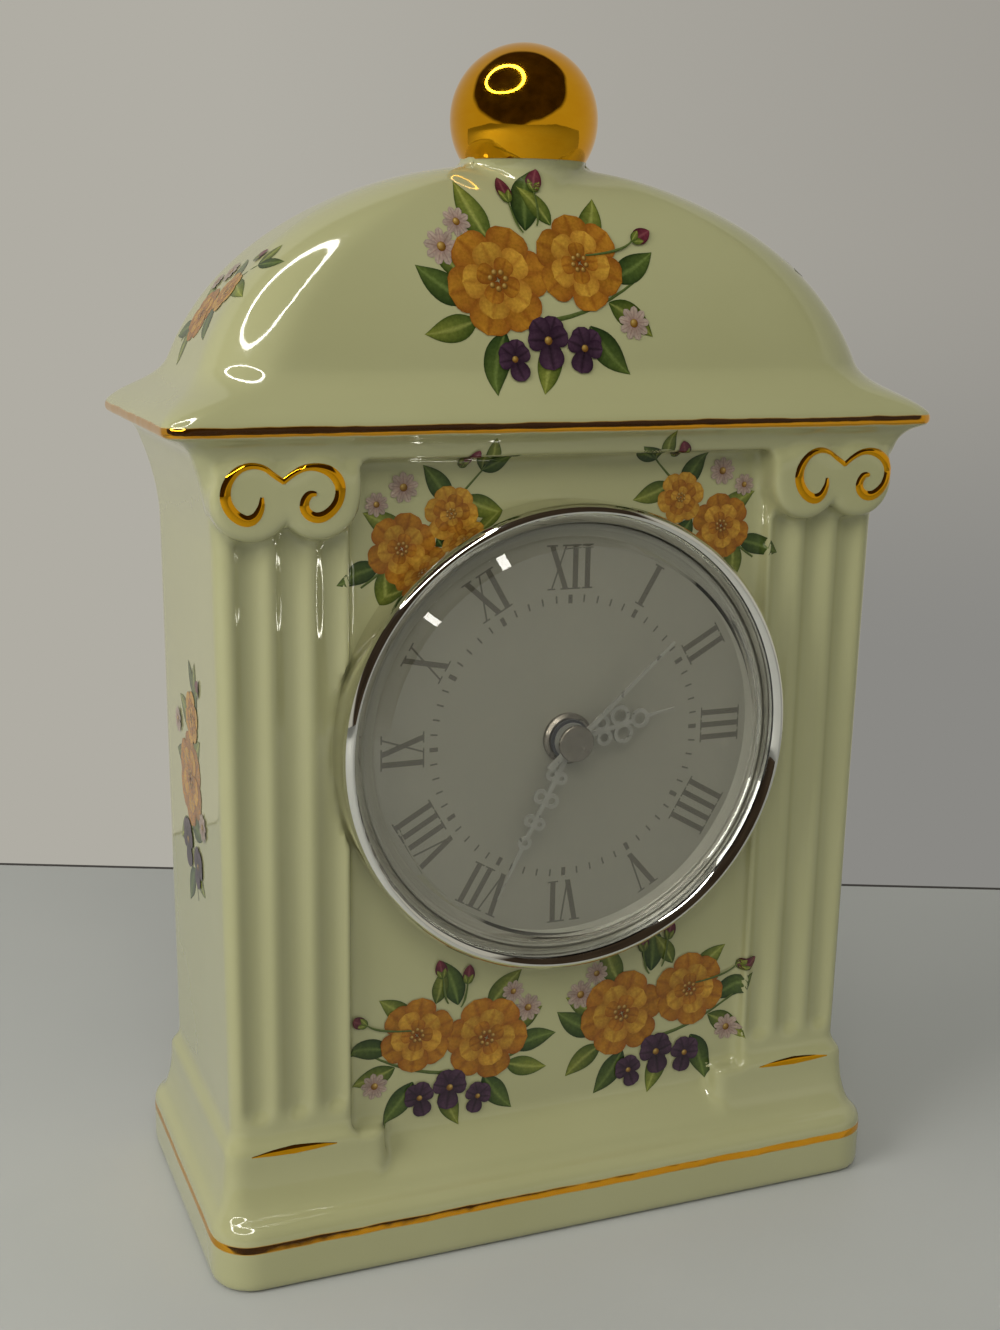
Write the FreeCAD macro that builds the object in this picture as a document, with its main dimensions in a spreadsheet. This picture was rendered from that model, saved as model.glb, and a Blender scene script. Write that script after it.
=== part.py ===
import FreeCAD, Part
import math
import os
import re
import Sketcher

# Porcelain mantel clock with a push-fit quartz insert. Lengths are in millimetres and angles in degrees.
# The clock stands on z = 0 with its front towards -Y, and the origin is under the middle of its base.
# The insert and its movement are drawn about their own Y axis, then lifted to the height of the dial.
# A size whose name ends in _out is a distance in front of the clock's middle plane, so y is minus it.

doc = FreeCAD.newDocument("MantelClock")
sheet = doc.addObject("Spreadsheet::Sheet", "Sizes")

SIZES = {
    "Porcelain case": [
        ("clock_height", 226.1, "to the top of the ball"),
        ("clock_width", 150.6, "across the cornice"),
        ("clock_depth", 70.2, "front to back of the slab"),
        ("wall", 4.5, "thickness of the casting"),
        ("slab_inset", 5.3, "how far the slab's ends stand inside the cornice's"),
        ("slab_height", 13.0, ""),
        ("slab_corner", 8.0, "radius of the upright corners"),
        ("slab_top_round", 3.0, ""),
        ("slab_foot_round", 1.4, ""),
        ("foot_rim", 8.0, "width of the unglazed rim that it stands on"),
        ("foot_recess", 1.2, "hollow inside the rim"),
        ("plinth_step", 3.4, "course above the slab, stepped in at the sides"),
        ("plinth_step_front", 7.2, "and at front and back"),
        ("plinth_height", 11.6, ""),
        ("plinth_spread", 2.3, "how far its foot runs out over the slab"),
        ("plinth_cove", 3.6, "height of the cove between plinth and wall"),
        ("wall_step", 1.6, "wall inside the plinth, all round"),
        ("wall_corner", 3.0, ""),
        ("wall_draft", 1.2, "how much wider the wall is at its top"),
        ("flare_height", 14.4, "height over which the wall flares"),
        ("flare_reach", 3.2, "how far it flares to the side"),
        ("flare_reach_front", 2.4, ""),
        ("cove_height", 4.6, "from the crease to the cornice's lower edge"),
        ("cornice_depth", 64.3, ""),
        ("cornice_corner", 4.0, ""),
        ("cornice_thick", 2.0, ""),
        ("sweep_height", 8.6, "from the cornice's upper edge to the dome"),
        ("dome_sink", 2.4, "how far below the crease the dome's curve springs"),
        ("dome_inset", 6.8, "dome inside the cornice at the sides"),
        ("dome_inset_front", 5.25, ""),
        ("dome_height", 54.2, "from where its curve springs"),
        ("dome_corner", 12.5, "radius of the hips"),
        ("neck_radius", 10.75, "under the ball"),
        ("neck_flare", 2.6, "how far the neck spreads into the dome"),
        ("neck_waist_drop", 0.6, "narrowest place below the dome's top"),
        ("neck_deep", 7.2, "neck's foot, inside the dome"),
        ("ball_radius", 13.9, ""),
        ("ball_lift", 8.0, "centre of the ball above the dome"),
        ("panel_sunk", 2.8, "front panel behind the pilasters"),
        ("panel_foot_lift", 5.0, "where the panel turns out to the slab"),
        ("panel_foot_round", 5.0, ""),
        ("pilaster_width", 22.8, ""),
        ("pedestal_width", 31.1, ""),
        ("pedestal_round", 2.2, ""),
        ("flute_margin", 3.4, "first flute from the pilaster's inner edge"),
        ("flute_pitch", 7.35, ""),
        ("flute_radius", 3.3, ""),
        ("flute_deep", 1.7, ""),
        ("flute_lift", 4.2, "lower ends of the flutes above the plinth"),
        ("capital_proud", 3.6, "capitals in front of the pilasters"),
        ("scroll_margin", 6.1, "first scroll from the pilaster's inner edge"),
        ("scroll_pitch", 11.9, "from one scroll to the other"),
        ("scroll_drop", 6.2, "scrolls below the crease"),
        ("scroll_radius", 7.3, ""),
        ("scroll_round", 1.5, "rounding of the capital's front edges"),
        ("bezel_play", 0.6, "round the bezel, where it cuts into the pilasters"),
        ("dial_rise_share", 0.58216, "how high up the wall the dial's centre stands"),
        ("access_hole", 30.0, "radius of the hole in the back"),
    ],
    "Insert": [
        ("bezel_radius", 45.0, ""),
        ("bezel_wide", 2.9, "from its outer edge to its bore"),
        ("bezel_height", 8.8, "front edge above its seat on the panel"),
        ("bezel_edge_round", 0.5, "rounding of the front edge"),
        ("bezel_bulge", 7.0, "radius of the face that slopes in to the glass"),
        ("bezel_lip", 0.75, "how far the inner lip laps over the glass"),
        ("bezel_lip_thick", 0.4, ""),
        ("lens_rise", 9.75, "flat front of the glass above the bezel's seat"),
        ("lens_bevel", 3.75, "width of the glass's bevel"),
        ("lens_thick", 1.1, ""),
        ("lens_edge_rise", 5.8, "front of the glass's edge above the bezel's seat"),
        ("lens_edge_thick", 1.0, ""),
        ("lens_play", 0.1, "between the glass and the lip"),
        ("ring_step_rise", 0.7, "step on the ring between dial and glass, above the dial"),
        ("ring_step_inset", 1.6, "step inside the bezel's bore"),
        ("ring_step", 0.4, ""),
        ("dial_rise", 3.4, "front of the dial above the bezel's seat"),
        ("dial_thick", 0.4, ""),
        ("dial_gap", 0.3, "between dial and cup"),
        ("dial_lap", 0.5, "width of the dial under the sloping ring"),
        ("cup_lip", 2.1, "cup inside the bezel's bore"),
        ("cup_flange", 0.8, ""),
        ("cup_wall", 0.8, ""),
        ("cup_floor", 1.0, ""),
        ("cup_depth", 15.3, "behind the bezel's seat"),
        ("grip_gap", 0.3, "rubber ring behind the bezel's seat"),
        ("grip_thick", 1.5, "room for the rubber ring round the cup"),
        ("grip_wide", 4.0, ""),
        ("grip_rib", 1.0, "width of one rib"),
        ("grip_rib_count", 3, ""),
        ("grip_fit", 0.05, "clearance of the ribs in the hole"),
        ("nut_wall", 1.0, ""),
        ("nut_thick", 1.4, ""),
    ],
    "Movement case": [
        ("case_half", 28.0, "half of the square"),
        ("case_corner", 6.0, ""),
        ("case_wall", 1.2, ""),
        ("front_case_deep", 9.1, "front half of the case"),
        ("back_cover_deep", 7.4, "rear half"),
        ("post_radius", 3.9, "threaded post"),
        ("post_gap", 0.1, "room round the post in the dial"),
        ("post_proud", 0.4, "post in front of its nut"),
        ("bay_wall", 1.0, "wall between wheels and battery"),
        ("bay_gap", 0.3, "room above the battery"),
        ("bay_front_gap", 0.45, "room in front of it"),
        ("bay_floor_gap", 1.75, "room below it"),
        ("battery_radius", 7.25, ""),
        ("battery_half", 24.75, "half of the cell without its button"),
        ("battery_button", 0.9, "height of the button"),
        ("battery_button_radius", 2.75, ""),
        ("contact_thick", 0.3, ""),
        ("contact_wide", 8.0, ""),
        ("bridge_level", 7.3, "wheel bridge behind the movement's front"),
        ("bridge_thick", 1.0, ""),
        ("bridge_half", 19.0, ""),
        ("bridge_low", 8.4, "its lower edge below the axis"),
        ("bridge_high", 16.4, "its upper edge above the axis"),
        ("pillar_radius", 1.6, ""),
        ("pillar_across", 16.8, ""),
        ("pillar_low", 6.2, ""),
        ("pillar_high", 13.6, ""),
        ("board_level", 12.9, "circuit board behind the movement's front"),
        ("board_thick", 0.8, ""),
        ("board_across", 18.4, "centre of the board"),
        ("board_half_wide", 7.2, ""),
        ("board_half_high", 7.0, ""),
        ("board_post", 1.4, "radius of the posts it sits on"),
        ("crystal_radius", 0.9, ""),
        ("crystal_long", 6.0, ""),
    ],
    "Electric motor": [
        ("rotor_radius", 2.6, "magnet"),
        ("rotor_level", 11.6, "front of the magnet behind the movement's front"),
        ("rotor_long", 1.8, ""),
        ("rotor_gap", 0.4, "between magnet and stator"),
        ("stator_level", 12.0, "front of the stator behind the movement's front"),
        ("stator_thick", 0.9, ""),
        ("stator_half", 12.5, ""),
        ("stator_arm", 3.0, "width of its side arms"),
        ("stator_low", 8.2, "its lower edge above the axis"),
        ("stator_bar", 7.9, "height of the bar round the rotor"),
        ("core_high", 1.6, "height of the bar through the coil"),
        ("coil_height", 20.8, "coil above the hands' axis"),
        ("coil_radius", 2.3, ""),
        ("bobbin_bore", 1.0, ""),
        ("bobbin_wall", 0.35, ""),
        ("bobbin_half", 9.0, ""),
        ("bobbin_flange", 0.7, ""),
        ("bobbin_flange_radius", 2.7, ""),
    ],
    "Wheels": [
        ("wheel_thick", 0.7, ""),
        ("pinion_long", 1.1, ""),
        ("run_gap", 0.05, "clearance of a shaft in its hole"),
        ("seconds_arbor", 0.5, ""),
        ("minute_tube", 1.55, "outer radius"),
        ("hour_pipe", 2.55, "outer radius"),
        ("thin_arbor", 0.4, ""),
        ("setting_arbor", 0.7, ""),
        ("hour_level", 1.7, "front of the hour wheel behind the movement's front"),
        ("motion_level", 3.0, ""),
        ("centre_level", 4.5, ""),
        ("third_level", 5.8, ""),
        ("seconds_level", 8.8, ""),
        ("fifth_level", 10.2, ""),
        ("third_distance", 9.0, "third arbor from the centre"),
        ("third_angle", 20.0, "from +X towards +Z"),
        ("motion_distance", 9.6, ""),
        ("motion_angle", 160.0, ""),
        ("fifth_distance", 7.2, ""),
        ("fifth_angle", 90.0, ""),
        ("rotor_distance", 7.0, "from the fifth arbor"),
        ("rotor_angle", 45.0, ""),
        ("rotor_tooth_count", 8, ""),
        ("fifth_tooth_count", 48, ""),
        ("fifth_pinion_tooth_count", 8, ""),
        ("seconds_tooth_count", 40, ""),
        ("seconds_pinion_tooth_count", 8, ""),
        ("third_tooth_count", 64, ""),
        ("third_pinion_tooth_count", 8, ""),
        ("centre_tooth_count", 60, ""),
        ("cannon_tooth_count", 12, ""),
        ("motion_tooth_count", 36, ""),
        ("motion_pinion_tooth_count", 10, ""),
        ("hour_tooth_count", 40, ""),
        ("knob_radius", 5.5, ""),
        ("knob_thick", 3.0, ""),
        ("knob_reach", 4.4, "rear of the knob behind the movement"),
        ("knob_grip", 0.5, "depth of its grooves"),
        ("knob_groove_count", 12, ""),
    ],
    "Hands": [
        ("hand_thick", 0.3, ""),
        ("hour_hand_rise", 2.5, "front of the hour hand above the dial"),
        ("minute_hand_rise", 3.4, ""),
        ("second_hand_rise", 4.2, ""),
        ("cap_rise", 4.9, ""),
        ("cap_radius", 3.5, ""),
        ("hour_hand_long", 22.0, ""),
        ("minute_hand_long", 33.0, ""),
        ("second_hand_long", 27.0, ""),
        ("second_hand_wide", 0.7, ""),
        ("second_hand_tail", 7.0, ""),
        ("hub_wall", 0.9, ""),
        ("hour_hand_wide", 9.5, "widest place of the scrollwork"),
        ("minute_hand_wide", 5.6, ""),
        ("scroll_strap", 0.75, "width of the metal in the scrollwork"),
        ("minute_hand_angle", 206.8, "from twelve, clockwise"),
        ("second_hand_angle", 48.0, ""),
    ],
}

# Sizes and places that follow from the ones above.
DERIVED = {
    "slab_half_width": "clock_width / 2 - slab_inset",
    "slab_half_depth": "clock_depth / 2",
    "plinth_half_width": "slab_half_width - plinth_step",
    "plinth_half_depth": "slab_half_depth - plinth_step_front",
    "plinth_top": "slab_height + plinth_height",
    "wall_half_width": "plinth_half_width - wall_step",
    "wall_half_depth": "plinth_half_depth - wall_step",
    "cornice_half_width": "clock_width / 2",
    "cornice_half_depth": "cornice_depth / 2",
    "ball_height": "clock_height - ball_radius",
    "dome_top": "ball_height - ball_lift",
    "dome_spring": "dome_top - dome_height",
    "cove_start": "dome_spring + dome_sink",
    "flare_start": "cove_start - flare_height",
    "cornice_low": "cove_start + cove_height",
    "dome_foot": "cornice_low + cornice_thick + sweep_height",
    "dome_half_width": "cornice_half_width - dome_inset",
    "dome_half_depth": "cornice_half_depth - dome_inset_front",
    "neck_waist": "dome_top - neck_waist_drop",
    "neck_foot": "dome_top - neck_deep",
    "panel_out": "wall_half_depth - panel_sunk",
    "panel_half_width": "wall_half_width - pilaster_width",
    "panel_foot": "slab_height + panel_foot_lift",
    "pedestal_inner": "plinth_half_width - pedestal_width",
    "flute_inner": "panel_half_width + flute_margin",
    "flute_low": "plinth_top + flute_lift",
    "capital_out": "wall_half_depth + capital_proud",
    "scroll_inner": "panel_half_width + scroll_margin",
    "scroll_height": "cove_start - scroll_drop",
    "axis_height": "plinth_top + (cove_start - plinth_top) * dial_rise_share",
    "insert_hole": "cup_radius + grip_thick",
    "bezel_bore": "bezel_radius - bezel_wide",
    "bezel_front_out": "panel_out + bezel_height",
    "lip_radius": "bezel_bore - bezel_lip",
    "lens_out": "panel_out + lens_rise",
    "lens_edge_out": "panel_out + lens_edge_rise",
    "lens_back_out": "lens_edge_out - lens_edge_thick",
    "lens_foot": "lip_radius - lens_play",
    "lens_flat": "lens_foot - lens_bevel",
    "dial_out": "panel_out + dial_rise",
    "dial_radius": "cup_radius - cup_wall - dial_gap",
    "dial_view": "dial_radius - dial_lap",
    "dial_hole": "post_radius + post_gap",
    "ring_step_out": "dial_out + ring_step_rise",
    "ring_step_radius": "bezel_bore - ring_step_inset",
    "cup_radius": "bezel_bore - cup_lip",
    "cup_back_out": "panel_out - cup_depth",
    "grip_front_out": "panel_out - grip_gap",
    "nut_radius": "post_radius + nut_wall",
    "movement_out": "dial_out - dial_thick - cup_floor",
    "case_split_out": "movement_out - front_case_deep",
    "case_back_out": "case_split_out - back_cover_deep",
    "post_end_out": "dial_out + nut_thick + post_proud",
    "battery_out": "movement_out - case_wall - bay_front_gap - battery_radius",
    "battery_drop": "case_half - case_wall - bay_floor_gap - battery_radius",
    "bridge_out": "movement_out - bridge_level",
    "board_out": "movement_out - board_level",
    "rotor_front_out": "movement_out - rotor_level",
    "stator_out": "movement_out - stator_level",
    "hour_level_out": "movement_out - hour_level",
    "motion_level_out": "movement_out - motion_level",
    "centre_level_out": "movement_out - centre_level",
    "third_level_out": "movement_out - third_level",
    "seconds_level_out": "movement_out - seconds_level",
    "fifth_level_out": "movement_out - fifth_level",
    "knob_back_out": "case_back_out - knob_reach",
    "hour_hand_out": "dial_out + hour_hand_rise",
    "minute_hand_out": "dial_out + minute_hand_rise",
    "second_hand_out": "dial_out + second_hand_rise",
    "cap_out": "dial_out + cap_rise",
}

names = set()


def fill_sheet():
    """One row per size: its name, its value under that alias, and what it is."""
    row = 1
    for title, cells in SIZES.items():
        sheet.set("A%d" % row, title)
        row += 1
        for name, value, note in cells:
            sheet.set("A%d" % row, name)
            sheet.set("B%d" % row, str(value))
            sheet.setAlias("B%d" % row, name)
            sheet.set("C%d" % row, note)
            names.add(name)
            row += 1
    doc.recompute()


fill_sheet()


def spelled(sum_text):
    """The sum with each derived size written out in the sheet's own sizes."""
    while any(word in DERIVED for word in re.findall(r"[A-Za-z_]\w*", sum_text)):
        sum_text = re.sub(r"[A-Za-z_]\w*", lambda m: "(%s)" % DERIVED[m.group()] if m.group() in DERIVED
                          else m.group(), sum_text)
    return sum_text


def linked(sum_text):
    """The sum with each size's name pointing at the sheet."""
    return re.sub(r"[A-Za-z_]\w*", lambda m: "Sizes." + m.group() if m.group() in names else m.group(),
                  spelled(sum_text))


def worth(sum_text):
    """What a sum of named sizes comes to now."""
    return float(sheet.evalExpression(spelled(sum_text)))


# Sketches and features


def new_body(label, lifted=True, across="0", up="0"):
    """A body for one piece. The insert's pieces are lifted to the dial's axis and moved on from there."""
    body = doc.addObject("PartDesign::Body", label)
    body.Label = label
    if lifted:
        body.setExpression("Placement.Base.x", linked(across))
        body.setExpression("Placement.Base.z", linked("axis_height + (%s)" % up))
    return body


def new_sketch(body, name, role, offset="0"):
    """A sketch on one of the body's own origin planes, moved along that plane's normal by a sum of sizes."""
    drawing = body.newObject("Sketcher::SketchObject", name)
    plane = next(part for part in body.Origin.OriginFeatures if part.Role == role)
    drawing.AttachmentSupport = [(plane, "")]
    drawing.MapMode = "FlatFace"
    drawing.setExpression("AttachmentOffset.Base.z", linked(offset))
    return drawing


def hold(drawing, index, end, across, up, rules, sums):
    """Holds one point of a sketch at two sums measured from the origin."""
    for kind, other, text in (("DistanceX", -2, across), ("DistanceY", -1, up)):
        if text == "0":
            rules.append(Sketcher.Constraint("PointOnObject", index, end, other))
            sums.append(None)
        else:
            rules.append(Sketcher.Constraint(kind, -1, 1, index, end, worth(text)))
            sums.append(text)


def add_rules(drawing, rules, sums):
    first = drawing.ConstraintCount
    drawing.addConstraint(rules)
    for step, text in enumerate(sums):
        if text is not None:
            drawing.setExpression("Constraints[%d]" % (first + step), linked(text))


def circle(drawing, radius, across="0", up="0"):
    """A circle held by its centre and radius."""
    centre = FreeCAD.Vector(worth(across), worth(up), 0)
    index = drawing.addGeometry(Part.Circle(centre, FreeCAD.Vector(0, 0, 1), worth(radius)), False)
    rules, sums = [], []
    hold(drawing, index, 3, across, up, rules, sums)
    rules.append(Sketcher.Constraint("Radius", index, worth(radius)))
    sums.append(radius)
    add_rules(drawing, rules, sums)


def outline(drawing, corners):
    """A closed outline. A corner is (across, up); with a radius and a turn of +1 or -1 added, an arc of
    less than half a circle leads to it, turning left or right."""
    places = [FreeCAD.Vector(worth(c[0]), worth(c[1]), 0) for c in corners]
    ends = []
    radii = []
    for step, corner in enumerate(corners):
        start, stop = places[step - 1], places[step]
        if len(corner) == 2:
            index = drawing.addGeometry(Part.LineSegment(start, stop), False)
            ends.append((index, 1, 2))
            continue
        radius, turn = worth(corner[2]), corner[3]
        chord = stop - start
        side = FreeCAD.Vector(-chord.y, chord.x, 0).normalize() * turn
        centre = (start + stop) * 0.5 + side * math.sqrt(max(radius ** 2 - (chord.Length / 2) ** 2, 0))
        first, last = (start, stop) if turn > 0 else (stop, start)
        angles = [math.atan2(p.y - centre.y, p.x - centre.x) for p in (first, last)]
        whole = Part.Circle(centre, FreeCAD.Vector(0, 0, 1), radius)
        index = drawing.addGeometry(Part.ArcOfCircle(whole, angles[0], angles[1]), False)
        ends.append((index, 1, 2) if turn > 0 else (index, 2, 1))
        radii.append((index, corner[2]))
    rules, sums = [], []
    for step, corner in enumerate(corners):
        index, _, last = ends[step]
        after, first, _ = ends[(step + 1) % len(ends)]
        rules.append(Sketcher.Constraint("Coincident", index, last, after, first))
        sums.append(None)
        hold(drawing, index, last, corner[0], corner[1], rules, sums)
    for index, radius in radii:
        rules.append(Sketcher.Constraint("Radius", index, worth(radius)))
        sums.append(radius)
    add_rules(drawing, rules, sums)


def rectangle(drawing, left, right, low, high):
    outline(drawing, [(left, low), (right, low), (right, high), (left, high)])


def round_rectangle(drawing, half_wide, half_high, radius, middle="0"):
    """A rectangle with rounded corners about the origin, or moved up by middle."""
    w, h, r = ("(%s)" % text for text in (half_wide, half_high, radius))
    low, high = "%s - %s" % (middle, h), "%s + %s" % (middle, h)
    outline(drawing, [
        ("%s - %s" % (w, r), low),
        (w, "%s + %s" % (low, r), r, 1),
        (w, "%s - %s" % (high, r)),
        ("%s - %s" % (w, r), high, r, 1),
        ("%s - %s" % (r, w), high),
        ("-" + w, "%s - %s" % (high, r), r, 1),
        ("-" + w, "%s + %s" % (low, r)),
        ("%s - %s" % (r, w), low, r, 1),
    ])


def feature(body, kind, name, drawing, length=None, back=False):
    """A pad, pocket, revolution or groove of a sketch."""
    made = body.newObject("PartDesign::" + kind, name)
    made.Profile = drawing
    if length is not None:
        made.setExpression("Length", linked(length))
        made.Reversed = back
    return made


def pad_out(body, name, back, front, draw):
    """A plate square to the Y axis, from one distance in front of the middle plane to another."""
    drawing = new_sketch(body, name + "_sketch", "XZ_Plane", back)
    draw(drawing)
    return feature(body, "Pad", name, drawing, "(%s) - (%s)" % (front, back))


def cut_in(body, name, front, back, draw):
    """A cut square to the Y axis, from its front backwards."""
    drawing = new_sketch(body, name + "_sketch", "XZ_Plane", front)
    draw(drawing)
    return feature(body, "Pocket", name, drawing, "(%s) - (%s)" % (front, back))


def turn(body, name, corners, cut=False):
    """A turned form about the Y axis. Its corners are (distance in front, radius) and may have arcs."""
    drawing = new_sketch(body, name + "_sketch", "YZ_Plane")
    outline(drawing, [("-(%s)" % c[0], c[1]) + tuple(c[2:]) for c in corners])
    made = feature(body, "Groove" if cut else "Revolution", name, drawing)
    made.ReferenceAxis = (drawing, ["H_Axis"])
    return made


def loft(body, name, sections, ruled=False, kind="AdditiveLoft"):
    """A loft upwards through rounded rectangles: (height, half width, half depth, corner, middle)."""
    drawings = []
    for step, (height, half_wide, half_deep, corner, middle) in enumerate(sections):
        drawing = new_sketch(body, "%s_section_%d" % (name, step), "XY_Plane", height)
        round_rectangle(drawing, half_wide, half_deep, corner, middle)
        drawings.append(drawing)
    made = body.newObject("PartDesign::" + kind, name)
    made.Profile = drawings[0]
    made.Sections = drawings[1:]
    made.Ruled = ruled
    return made


def edges_where(shape, test):
    """The names of the edges whose box and middle pass a test."""
    return ["Edge%d" % (n + 1) for n, edge in enumerate(shape.Edges) if test(edge.BoundBox, edge)]


def round_edges(body, name, base, radius, test):
    """Rounds the edges of the last feature that pass a test."""
    doc.recompute()
    chosen = edges_where(base.Shape, test)
    if not chosen:
        raise RuntimeError(name + " finds no edge to round")
    made = body.newObject("PartDesign::Fillet", name)
    made.Base = (base, chosen)
    made.setExpression("Radius", linked(radius))
    doc.recompute()
    return made


def near(value, sum_text, within=0.02):
    return abs(value - worth(sum_text)) < within


# Porcelain case

# How a cove swings out (second number) as it climbs (first number).
COVE_SHARES = ((0.0, 0.0), (0.35, 0.10), (0.65, 0.34), (0.87, 0.68), (1.0, 1.0))
# The sweep from the cornice's edge up to the dome: height gained, width given up, depth given up.
SWEEP_SHARES = ((0.0, 0.0, 0.0), (0.26, 0.25, 0.22), (0.52, 0.60, 0.56), (0.74, 0.84, 0.82), (1.0, 1.0, 1.0))
DOME_HEIGHT_SHARES = (0.52, 0.66, 0.79, 0.89, 0.955, 0.985)
DOME_WIDTH_POWER_SHARE = 2.18
DOME_DEPTH_POWER_SHARE = 2.03
HIP_SHARE = 0.9


def dome_size(level_share):
    """The dome's half width and half depth at a share of its height."""
    wide_share = (1 - level_share ** DOME_WIDTH_POWER_SHARE) ** (1 / DOME_WIDTH_POWER_SHARE)
    deep_share = (1 - level_share ** DOME_DEPTH_POWER_SHARE) ** (1 / DOME_DEPTH_POWER_SHARE)
    return "dome_half_width * %.5f" % wide_share, "dome_half_depth * %.5f" % deep_share


def dome_section(level_share, inset="0"):
    wide, deep = dome_size(level_share)
    height = "dome_spring + (dome_top - dome_spring) * %.5f - (%s)" % (level_share, inset)
    half_deep = "%s - (%s)" % (deep, inset)
    corner = "min(dome_corner; (%s) * %.3f)" % (half_deep, HIP_SHARE)
    return height, "%s - (%s)" % (wide, inset), half_deep, corner, "0"


def foot_share():
    """Where the sweep meets the dome, as a share of the dome's height."""
    return worth("(dome_foot - dome_spring) / (dome_top - dome_spring)")


WALL_TOP_WIDE = "wall_half_width + wall_draft"
FLARE_WIDE = "wall_half_width + wall_draft + flare_reach"
FLARE_DEEP = "wall_half_depth + flare_reach_front"


def case_base(body):
    slab = feature(body, "Pad", "slab", new_sketch(body, "slab_sketch", "XY_Plane"), "slab_height")
    round_rectangle(slab.Profile[0], "slab_half_width", "slab_half_depth", "slab_corner")
    slab = round_edges(body, "slab_top_edge", slab, "slab_top_round",
                       lambda box, edge: near(box.ZMin, "slab_height") and near(box.ZMax, "slab_height"))
    slab = round_edges(body, "slab_foot_edge", slab, "slab_foot_round", lambda box, edge: near(box.ZMax, "0"))
    plinth_shares = ((0.0, 1.0), (0.25, 0.45), (0.6, 0.10), (1.0, 0.0))
    loft(body, "plinth", [
        ("slab_height - slab_foot_round + (plinth_top - slab_height + slab_foot_round) * %.3f" % climb,
         "plinth_half_width + plinth_spread * %.3f" % spread,
         "plinth_half_depth + plinth_spread * 2 * %.3f" % spread,
         "wall_corner + plinth_spread * %.3f" % spread, "0")
        for climb, spread in plinth_shares])
    loft(body, "plinth_cove_form", [
        ("plinth_top - slab_foot_round + (plinth_cove + slab_foot_round) * %.3f" % climb,
         "wall_half_width + (plinth_half_width - wall_half_width) * %.3f" % (1 - swing),
         "wall_half_depth + (plinth_half_depth - wall_half_depth) * %.3f" % (1 - swing),
         "wall_corner", "0")
        for climb, swing in ((0.0, 0.15), (0.35, 0.35), (0.65, 0.78), (1.0, 1.0))])


def case_walls(body):
    loft(body, "walls", [
        ("slab_height", "wall_half_width", "wall_half_depth", "wall_corner", "0"),
        ("flare_start", WALL_TOP_WIDE, "wall_half_depth", "wall_corner", "0"),
    ], ruled=True)
    loft(body, "flare", [
        ("flare_start + (cove_start - flare_start) * %.3f" % climb,
         "%s + flare_reach * %.3f" % (WALL_TOP_WIDE, swing),
         "wall_half_depth + flare_reach_front * %.3f" % swing, "wall_corner", "0")
        for climb, swing in ((0.0, 0.0), (0.5, 0.32), (1.0, 1.0))])
    loft(body, "cornice_cove", [
        ("cove_start + (cornice_low - cove_start) * %.3f" % climb,
         "%s + (cornice_half_width - (%s)) * %.3f" % (FLARE_WIDE, FLARE_WIDE, swing),
         "%s + (cornice_half_depth - (%s)) * %.3f" % (FLARE_DEEP, FLARE_DEEP, swing),
         "wall_corner + (cornice_corner - wall_corner) * %.3f" % swing, "0")
        for climb, swing in COVE_SHARES])
    edge = feature(body, "Pad", "cornice_edge", new_sketch(body, "cornice_sketch", "XY_Plane", "cornice_low"),
                   "cornice_thick")
    round_rectangle(edge.Profile[0], "cornice_half_width", "cornice_half_depth", "cornice_corner")


def case_roof(body):
    start = foot_share()
    wide, deep = dome_size(start)
    loft(body, "sweep", [
        ("cornice_low + cornice_thick + (dome_foot - cornice_low - cornice_thick) * %.3f" % climb,
         "cornice_half_width + ((%s) - cornice_half_width) * %.3f" % (wide, in_wide),
         "cornice_half_depth + ((%s) - cornice_half_depth) * %.3f" % (deep, in_deep),
         "cornice_corner + (dome_corner - cornice_corner) * %.3f" % in_deep, "0")
        for climb, in_wide, in_deep in SWEEP_SHARES])
    loft(body, "dome", [dome_section(start)] + [dome_section(level) for level in DOME_HEIGHT_SHARES])
    finial = new_sketch(body, "finial_sketch", "XZ_Plane")
    meet = "ball_height - sqrt(ball_radius ^ 2 - neck_radius ^ 2)"
    outline(finial, [
        ("0", "neck_foot"),
        ("neck_radius + neck_flare", "neck_foot"),
        ("neck_radius", "neck_waist", "(neck_waist - neck_foot) * 1.35", -1),
        ("neck_radius", meet),
        ("0", "ball_height + ball_radius", "ball_radius", 1),
    ])
    ball = feature(body, "Revolution", "finial", finial)
    ball.ReferenceAxis = (finial, ["V_Axis"])


def own_axis(drawing, across, low, high):
    """A construction line in a sketch, upright or level, for a form to be turned about."""
    if len(high) and high[0] == across:
        ends = [(across, low), (across, high[1])]
    else:
        ends = [(across, low), high]
    places = [FreeCAD.Vector(worth(x), worth(y), 0) for x, y in ends]
    line = drawing.addGeometry(Part.LineSegment(*places), True)
    rules, sums = [], []
    for end, (x, y) in enumerate(ends, 1):
        hold(drawing, line, end, x, y, rules, sums)
    add_rules(drawing, rules, sums)


def case_flutes(body):
    """Concave flutes with round lower ends, each turned about its own upright line."""
    for side, label in ((-1, "left"), (1, "right")):
        for step in range(3):
            place = "%d * (flute_inner + flute_pitch * %d)" % (side, step)
            name = "flute_%s_%d" % (label, step)
            drawing = new_sketch(body, name + "_sketch", "XZ_Plane",
                                 "wall_half_depth - flute_deep + flute_radius")
            outline(drawing, [
                (place, "flute_low"),
                (place + " + flute_radius", "flute_low + flute_radius", "flute_radius", 1),
                (place + " + flute_radius", "scroll_height"),
                (place, "scroll_height"),
            ])
            own_axis(drawing, place, "flute_low", (place, "scroll_height"))
            groove = feature(body, "Groove", name, drawing)
            groove.ReferenceAxis = (drawing, ["Axis0"])


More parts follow.
